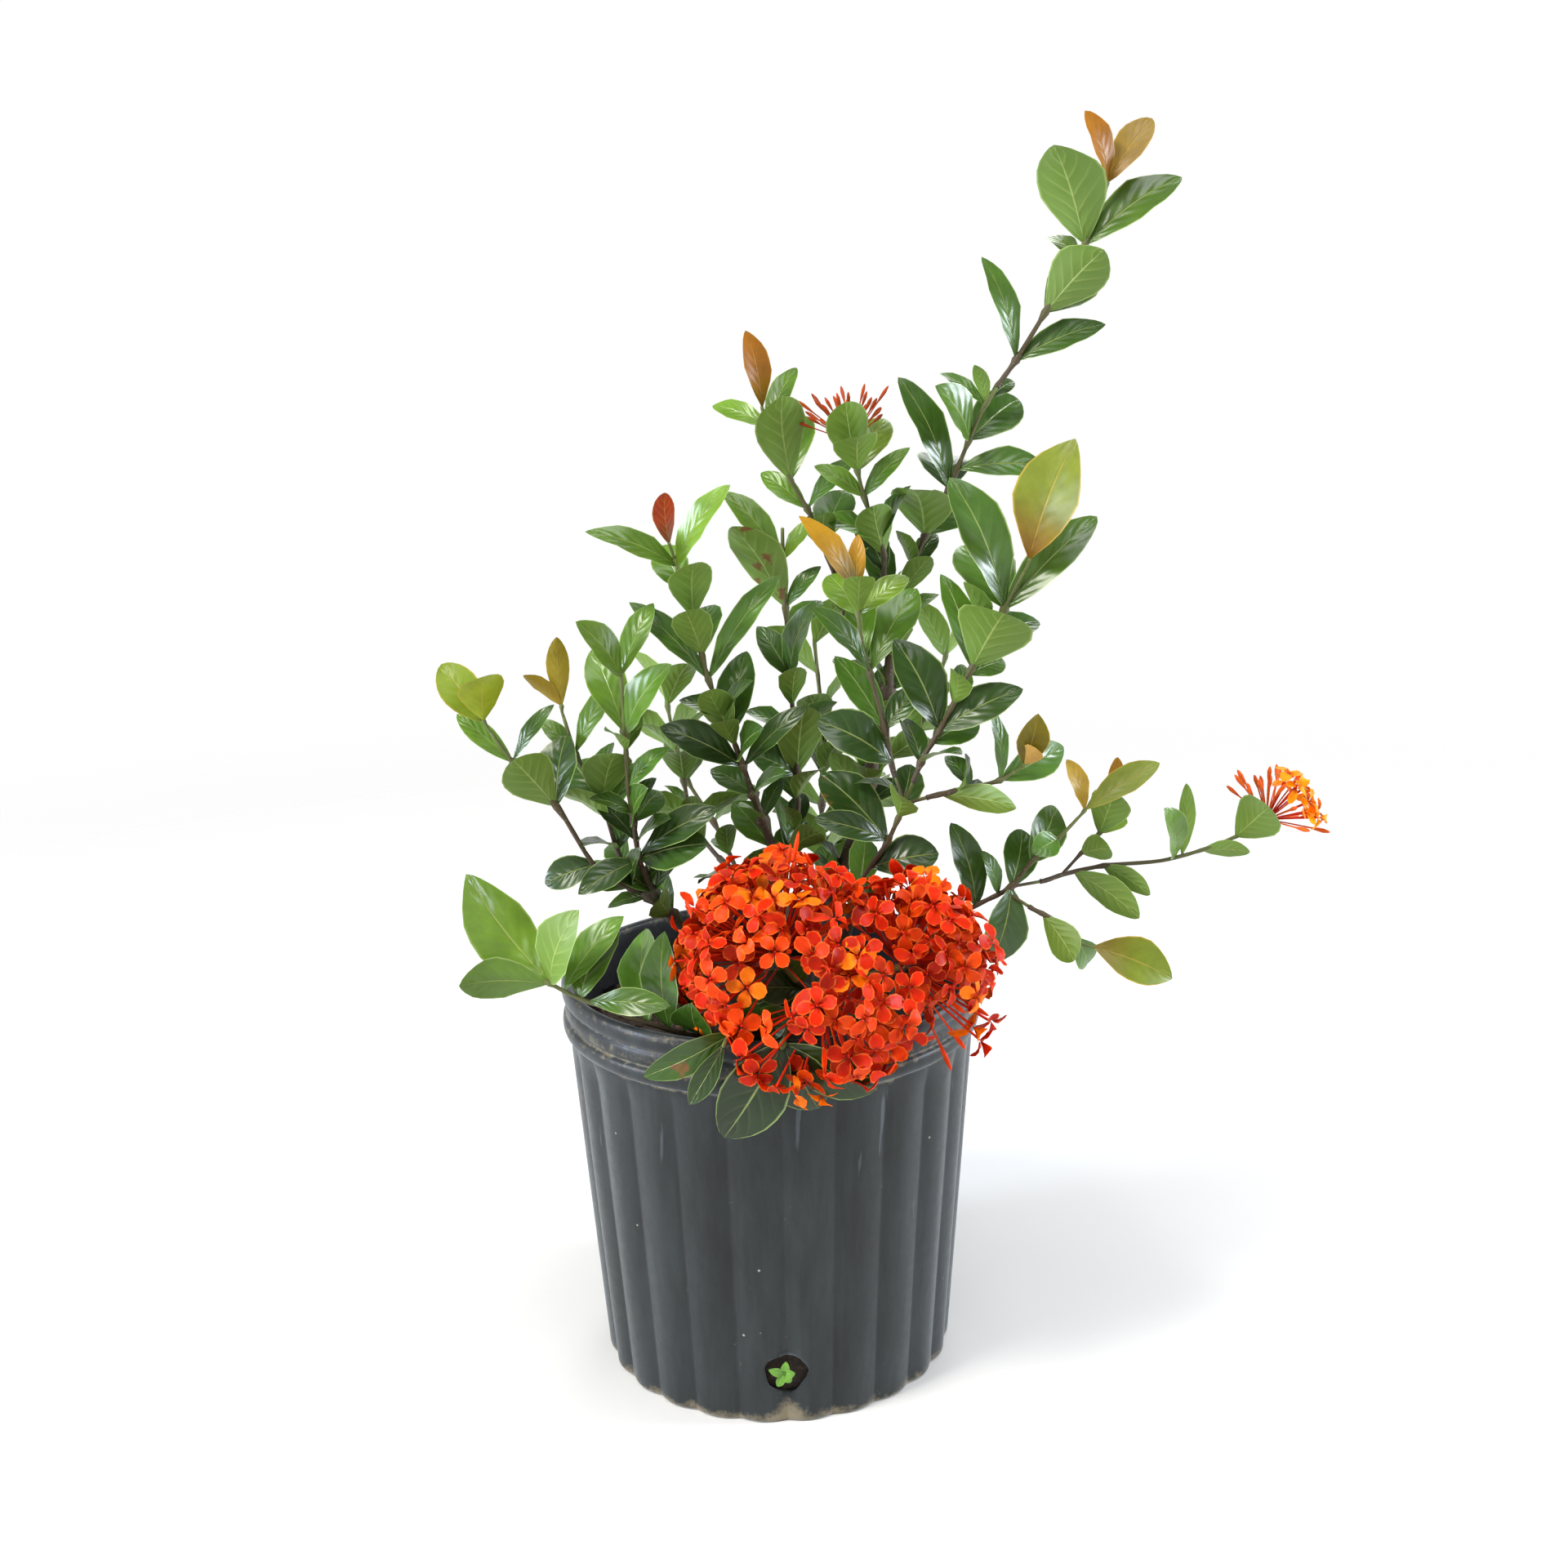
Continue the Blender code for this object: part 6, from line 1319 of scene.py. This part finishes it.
def budCluster(pieceName, node, head, looks):
    # buds on tubes that fan out over a cap of the head; the ones that face `openWay` most have opened
    centre = np.array(head["centre"], float)
    budCount, openCount = looks["buds"], looks["open"]
    ways = capWays(head["facing"], head["cap"] + looks["wider"], budCount, 1.0)
    ways = unit(ways + rng.normal(0, 0.07, ways.shape))
    # none grow through the leaf that stands before the head
    ways = ways[ways @ unit(np.array(looks["leafWay"])) < looks["leafRoom"]]
    budCount = len(ways)
    far = head["length"] * rng.uniform(*looks["reach"], (budCount, 1))
    opened = np.argsort(-(ways @ unit(np.array(looks["openWay"]))))[:openCount]
    closed = np.setdiff1d(np.arange(budCount), opened)
    parts = [stalkPart(head["from"], centre, floretForm["youngStalk"]),
             clubBuds((centre + ways[closed] * 1.5) * mm, (centre + ways[closed] * far[closed]) * mm, 1,
                      looks["colour"], looks["slim"])]
    if openCount:
        way = ways[opened]
        place = centre + way * far[opened] * 0.9
        first, second = (linear(c) for c in petalColours["opening"])
        tint = withAlpha(first + (second - first) * rng.random((openCount, 1)))
        turn, size = rng.uniform(0, 1.57, openCount), rng.uniform(*floretForm["youngSizes"], openCount)
        parts.append(makeFlorets(place * mm, way, turn, size, tint, floretForm, 1))
        parts.append(floretTubes(centre + way * 1.5, place + way * 0.8, floretForm["youngTube"], 0 * way))
    putPiece(pieceName, parts, [stemMaterial, petalSkin], [node])


# buds of a head, how many of them are open, how much wider (degrees) and longer the fan is than the head in
# the solids, and the cosine round leafWay in which no bud grows
youngBuds = {"buds": 34, "open": 0, "wider": 2, "reach": (0.78, 1.22), "openWay": (0.0, 0.0, 1.0),
             "slim": 0.78, "colour": "youngBud", "leafWay": (-0.05, -0.85, 0.5), "leafRoom": 0.72}
openingBuds = {"buds": 34, "open": 10, "wider": 10, "reach": (0.82, 1.24), "openWay": (0.6, -0.3, 0.55),
               "slim": 0.95, "colour": "openingBud", "leafWay": (-0.4, -0.85, 0.2), "leafRoom": 0.80}
budCluster("young_buds", "budding_head", budHead, youngBuds)
budCluster("opening_buds", "half_open_head", sideHead, openingBuds)

print("stage 5: seedling")
seedRoot, seedTop = np.array(seedling["root"], float), np.array(seedling["top"], float)
seedWay = unit(seedTop - seedRoot)
seedPath = smoothPath(np.array([seedRoot, seedTop]), 4)
seedStem = sweep(seedPath * mm, np.full(len(seedPath), seedling["radius"] * mm), 8)
seedGreen = linear(seedling["green"])
seedStem = {**seedStem, "tint": np.tile([*seedGreen, 0.0], (len(seedStem["points"]), 1)), "material": 0}
seedReach = np.array([row[0] for row in seedling["leaves"]], float) * np.array(seedling["reaches"])[:, None]
seedWidth = np.array([row[1] for row in seedling["leaves"]], float)
seedCount = len(seedReach)
seedTint = withAlpha(seedGreen * rng.uniform(0.9, 1.3, (seedCount, 1)), 2.0)
seedForm = {**leafForm, "breadth": 0.92, "stalk": 0.35, "thick": 0.3, "obovate": (0.95, 1.15), "turn": 14.0,
            "broadTurn": 0.5}
seedLeaves = makeBlades(np.tile((seedTop - seedWay * 1.2) * mm, (seedCount, 1)), seedReach * mm,
                        seedWidth * mm, np.tile(seedWay, (seedCount, 1)), seedTint, seedForm, 1)
putPiece("drain_seedling", [seedStem, seedLeaves], [stemMaterial, weedSkin], ["weed_seedling"])

print("stage 6: pot and soil")

# all in mm, as the solid has them
potForm = {"base": 116.5, "foot": (2.8, 3.5), "flankTop": 131.4, "innerLip": (130.4, 260.0), "wall": 1.8,
           "floor": 3.0, "flutes": 24, "fluteDepth": 3.0, "fluteTop": 229.0, "fluteFull": 213.0,
           "sharpness": 1.0, "drainTurn": -88.0, "drainRadius": 13.5, "drainHeight": 36.0, "drains": 4,
           "seamTurn": -96.5, "seam": 0.25, "seamWidth": 1.2, "outOfRound": 0.5}
# where dust lies, as (height, spread, share): the foot, under the bead and in the grooves of the lip; the
# lip's outer top; the share in the flutes' creases; and under the front hole, with its width
potDust = [(0.0, 6.0, 0.54), (229.4, 1.6, 0.46), (246.0, 4.0, 0.34), (252.0, 1.2, 0.40), (241.6, 1.0, 0.36),
           (238.6, 1.6, 0.33)]
lipDust, creaseDust, drainDust = (262.0, 3.0, 0.33), 0.12, (8.0, 11.0, 0.46, 13.0)
# stations round one flute, as shares of it: close together in the creases
lobeSteps = np.array([0.0, 0.035, 0.10, 0.20, 0.34, 0.5, 0.66, 0.80, 0.90, 0.965])


def innerRadius(height):
    # the inner wall's radius at a height: the outer taper less the wall
    f = potForm
    lower, upper = f["base"], f["flankTop"]
    return lower + (upper - lower) * (height - f["floor"]) / (f["fluteFull"] - f["floor"]) - f["wall"]


def potProfile():
    # outer wall from the middle of the base up, over the rolled lip, and down inside to the floor: radius,
    # height, and 1 where it is inner wall. The foot is a quarter round and the flank a straight taper
    f = potForm
    turn = np.linspace(0, 1, 9)
    (wide, high), quarter = f["foot"], turn * math.pi / 2
    foot = np.stack([f["base"] - wide * (1 - np.sin(quarter)), high * (1 - np.cos(quarter))], 1)
    wall = np.linspace(0, 1, 34)[1:]
    flank = np.stack([f["base"] + (f["flankTop"] - f["base"]) * wall,
                      high + (f["fluteFull"] - high) * wall], 1)
    points = [[0.0, 0.0], [60.0, 0.0], [100.0, 0.0], *foot, *flank,
              [131.7, 218.0], [131.9, 223.0], [132.0, 227.0], [131.8, 228.6], [132.2, 229.6], [134.2, 230.4],
              [135.8, 231.8], [136.5, 234.0], [136.7, 236.4], [136.4, 238.8], [135.6, 240.4], [134.3, 241.2],
              [134.0, 242.0], [134.6, 243.0], [134.9, 245.0], [134.8, 248.6], [134.4, 250.6], [133.7, 251.6],
              [133.9, 252.6], [135.4, 253.2], [136.6, 254.4], [137.1, 256.4], [137.2, 258.6], [137.0, 261.0],
              [136.4, 263.0], [135.3, 264.4], [133.8, 265.0], [132.4, 264.8], [131.3, 263.9], [130.8, 262.4],
              [130.6, 259.6]]
    outer = len(points)
    (lipRadius, lipHeight), knee, floor = f["innerLip"], f["fluteFull"], f["floor"]
    inner = [[lipRadius + (innerRadius(knee) - lipRadius) * s, lipHeight + (knee - lipHeight) * s]
             for s in np.linspace(0, 1, 8)[1:]]
    inner += [[innerRadius(z), z] for z in knee + (floor - knee) * np.linspace(0, 1, 16)[1:]]
    inner += [[80.0, floor], [40.0, floor], [0.0, floor]]
    profile = np.array(points + inner, float)
    return profile[:, 0], profile[:, 1], (np.arange(len(profile)) >= outer).astype(float)


def makePot():
    # radius(angle, height) = profile radius - depth * (1 - |sin(12 (angle - turn))|^sharpness), faded out
    # above the flutes; a fine seam line stands proud at one angle
    f = potForm
    radius, height, inside = potProfile()
    turn = math.radians(f["drainTurn"])
    angle = (turn + (np.arange(f["flutes"])[:, None] + lobeSteps[None]) * 2 * math.pi / f["flutes"]).ravel()
    r, z = radius[1:-1, None], height[1:-1, None]
    valley = 1 - np.abs(np.sin(f["flutes"] / 2 * (angle - turn)))[None] ** f["sharpness"]
    fade = np.clip((f["fluteTop"] - z) / (f["fluteTop"] - f["fluteFull"]), 0, 1)**0.7 * (r > 90)
    r = r - f["fluteDepth"] * valley * fade
    away = (angle - math.radians(f["seamTurn"]) + math.pi) % (2 * math.pi) - math.pi
    r = r + f["seam"] * np.exp(-(away * 130 / f["seamWidth"])**2)[None] * (z > 4) * (1 - inside[1:-1, None])
    # the wall isn't true: it is a little out of round
    r = r + f["outOfRound"] * np.sin(2 * angle + 0.6)[None] * np.clip(z / 120, 0, 1) * (z < 250)
    rings = np.stack([r * np.cos(angle), r * np.sin(angle), z + 0 * angle], -1) * mm
    points = closedShapes(rings[None], np.array([[0.0, 0.0, 0.0]]), np.array([[0.0, 0.0, f["floor"] * mm]]))
    steps, sides = rings.shape[:2]
    # dusty: bands at the foot and the lip, the lip's outer top, and the creases
    dusty = sum(share * np.exp(-((z - level) / spread)**2) for level, spread, share in potDust)
    level, spread, share = lipDust
    dusty = dusty + share * np.exp(-((z - level) / spread)**2) * (1 - inside[1:-1, None])
    dusty = dusty + creaseDust * valley * (z < f["fluteTop"])
    # soil has washed out of the front drainage hole and dried under it
    fromDrain = (angle - turn + math.pi) % (2 * math.pi) - math.pi
    level, spread, share, wide = drainDust
    dusty = dusty + share * np.exp(-(fromDrain * 120 / wide)**2)[None] * np.exp(-((z - level) / spread)**2)
    dusty = np.concatenate([(dusty + 0 * angle).ravel(), [0.0, 0.0]])
    inner = np.concatenate([np.repeat(inside[1:-1], sides), [0.0, 1.0]])
    return {"points": points, "faces": ringFaces(steps, sides), "dusty": dusty, "inside": inner,
            "material": 0}


def cutDrains(pot):
    # uneven holes low in the wall: radius = r (1 + .05 sin(3a + index) + .04 cos 5a), cut with a plug each
    f = potForm
    for index in range(f["drains"]):
        turn = math.radians(f["drainTurn"] + index * 360 / f["drains"])
        out = np.array([math.cos(turn), math.sin(turn), 0.0])
        side = np.array([-math.sin(turn), math.cos(turn), 0.0])
        angle = np.arange(28) * 2 * math.pi / 28
        r = f["drainRadius"] * (1 + 0.05 * np.sin(3 * angle + index) + 0.04 * np.cos(5 * angle))
        ring = side * (r * np.cos(angle))[:, None] + np.array([0, 0, 1.0]) * (r * np.sin(angle))[:, None]
        rings = np.stack([ring + out * far + [0, 0, f["drainHeight"]] for far in (100.0, 130.0)]) * mm
        middle = (out[None] * [[100.0], [130.0]] + [0, 0, f["drainHeight"]]) * mm
        mesh = bpy.data.meshes.new("drainCutter")
        points = closedShapes(rings[None], middle[:1], middle[1:])
        mesh.from_pydata(points.tolist(), [], [face for faces in ringFaces(2, 28) for face in faces.tolist()])
        cutter = bpy.data.objects.new("drainCutter", mesh)
        bpy.context.scene.collection.objects.link(cutter)
        hole = pot.modifiers.new("drain", "BOOLEAN")
        hole.operation, hole.solver, hole.object = "DIFFERENCE", "EXACT", cutter
        bpy.context.view_layer.objects.active = pot
        bpy.ops.object.modifier_apply(modifier=hole.name)
        bpy.data.objects.remove(cutter)


pot = putPiece("pot", [makePot()], [potMaterial], ["nursery_pot"])
cutDrains(pot)

# in mm: the soil stays clear of the pot's floor and flutes and falls by `edge` at its shoulder, and chips lie
# within chipReach of the middle
soilForm = {"top": 231.0, "edge": 4.0, "bump": 2.5, "bottom": 3.3, "clearance": 0.45, "chips": 260,
            "chipSize": (3.0, 9.0), "chipReach": 124, "chipRise": 0.3, "shoulder": 127}


def soilHeight(x, y):
    # top surface in mm: the solid's broad swells, with crumbs added by finer waves
    f = soilForm
    broad = f["bump"] * (np.sin(x * 0.095) * np.cos(y * 0.080 + 1) + 0.5 * np.sin(x * 0.170 + y * 0.210))
    fine = 0.9 * np.sin(x * 0.61 + 2 * np.sin(y * 0.37)) * np.sin(y * 0.53 + 1.7 * np.sin(x * 0.29))
    crumb = 0.5 * np.sin(x * 1.31 + 3 * np.sin(y * 0.9)) * np.sin(y * 1.17 + 2.1 * np.sin(x * 0.8))
    return f["top"] + broad + fine + crumb


def makeSoil():
    # a polar grid on top, a rounded shoulder, straight sides and a flat bottom
    f = soilForm
    angle = np.linspace(0, 2 * math.pi, 145)[:-1]
    rim = innerRadius(potForm["fluteFull"]) - potForm["fluteDepth"] - f["clearance"]
    bottom = f["bottom"]
    foot = innerRadius(bottom) - potForm["fluteDepth"] - f["clearance"]
    r = np.linspace(2.0, rim - 2.0, 46)
    x, y = r[:, None] * np.cos(angle), r[:, None] * np.sin(angle)
    z = soilHeight(x, y) - f["edge"] * np.clip((r / (rim - 2.0))**6, 0, 1)[:, None]
    top = np.stack([x, y, z], -1)
    low = [(rim - 0.6, 225.0), (rim, 219.0), (rim - 2.5, 180.0), (rim - 7.0, 100.0), (foot + 2.0, 36.0),
           (foot, bottom), (foot * 0.5, bottom)]
    sides = np.stack([np.stack([a * np.cos(angle), a * np.sin(angle), np.full(len(angle), b)], -1)
                      for a, b in low])
    rings = np.concatenate([top, sides])[::-1]
    points = closedShapes(rings[None] * mm, np.array([[0, 0, bottom]]) * mm,
                          np.array([[0, 0, float(soilHeight(0, 0))]]) * mm)
    return {"points": points, "faces": ringFaces(len(rings), len(angle)), "material": 0}


def makeChips():
    # bark chips: rough six-sided slabs that lie on the soil at any turn. A corner is side * reach * cos a
    # + up * 0.55 reach * sin a from the chip's middle, with a and reach a little uneven
    f = soilForm
    count = f["chips"]
    far, turn = f["chipReach"] * np.sqrt(rng.random(count)), rng.uniform(0, 2 * math.pi, count)
    x, y = far * np.cos(turn), far * np.sin(turn)
    place = np.stack([x, y, soilHeight(x, y) + f["chipRise"] - f["edge"] * (far / f["shoulder"])**6], -1)
    size = rng.uniform(*f["chipSize"], (count, 1, 1, 1))
    way = unit(rng.normal(0, 0.35, (count, 3)) + [0, 0, 1])
    side, up = squareTo(way)
    spin = rng.uniform(0, 2 * math.pi, (count, 1))
    side, up = side * np.cos(spin) + up * np.sin(spin), up * np.cos(spin) - side * np.sin(spin)
    angle = (np.arange(6) * math.pi / 3)[None, None, :, None] + rng.normal(0, 0.25, (count, 2, 6, 1))
    reach = size * 0.5 * rng.uniform(0.75, 1.1, (count, 2, 6, 1))
    level = np.array([-0.5, 0.5])[None, :, None, None] * rng.uniform(1.0, 2.2, (count, 1, 1, 1))
    rings = (place[:, None, None] + side[:, None, None] * reach * np.cos(angle)
             + up[:, None, None] * reach * 0.55 * np.sin(angle) + way[:, None, None] * level)
    first, last = rings[:, 0].mean(1), rings[:, 1].mean(1)
    tones = np.array([linear(c) for c in chipLooks["tones"]])
    tint = withAlpha(tones[rng.integers(0, 4, count)] * rng.uniform(0.6, 1.2, (count, 1)))
    return {"points": closedShapes(rings, first, last) * mm, "faces": ringFaces(2, 6, count),
            "tint": np.repeat(tint, 14, axis=0), "rim": np.ones(count * 14, bool), "material": 1}


putPiece("soil", [makeSoil(), makeChips()], [soilMaterial, chipMaterial], ["potting_soil"])

print("stage 7: done")
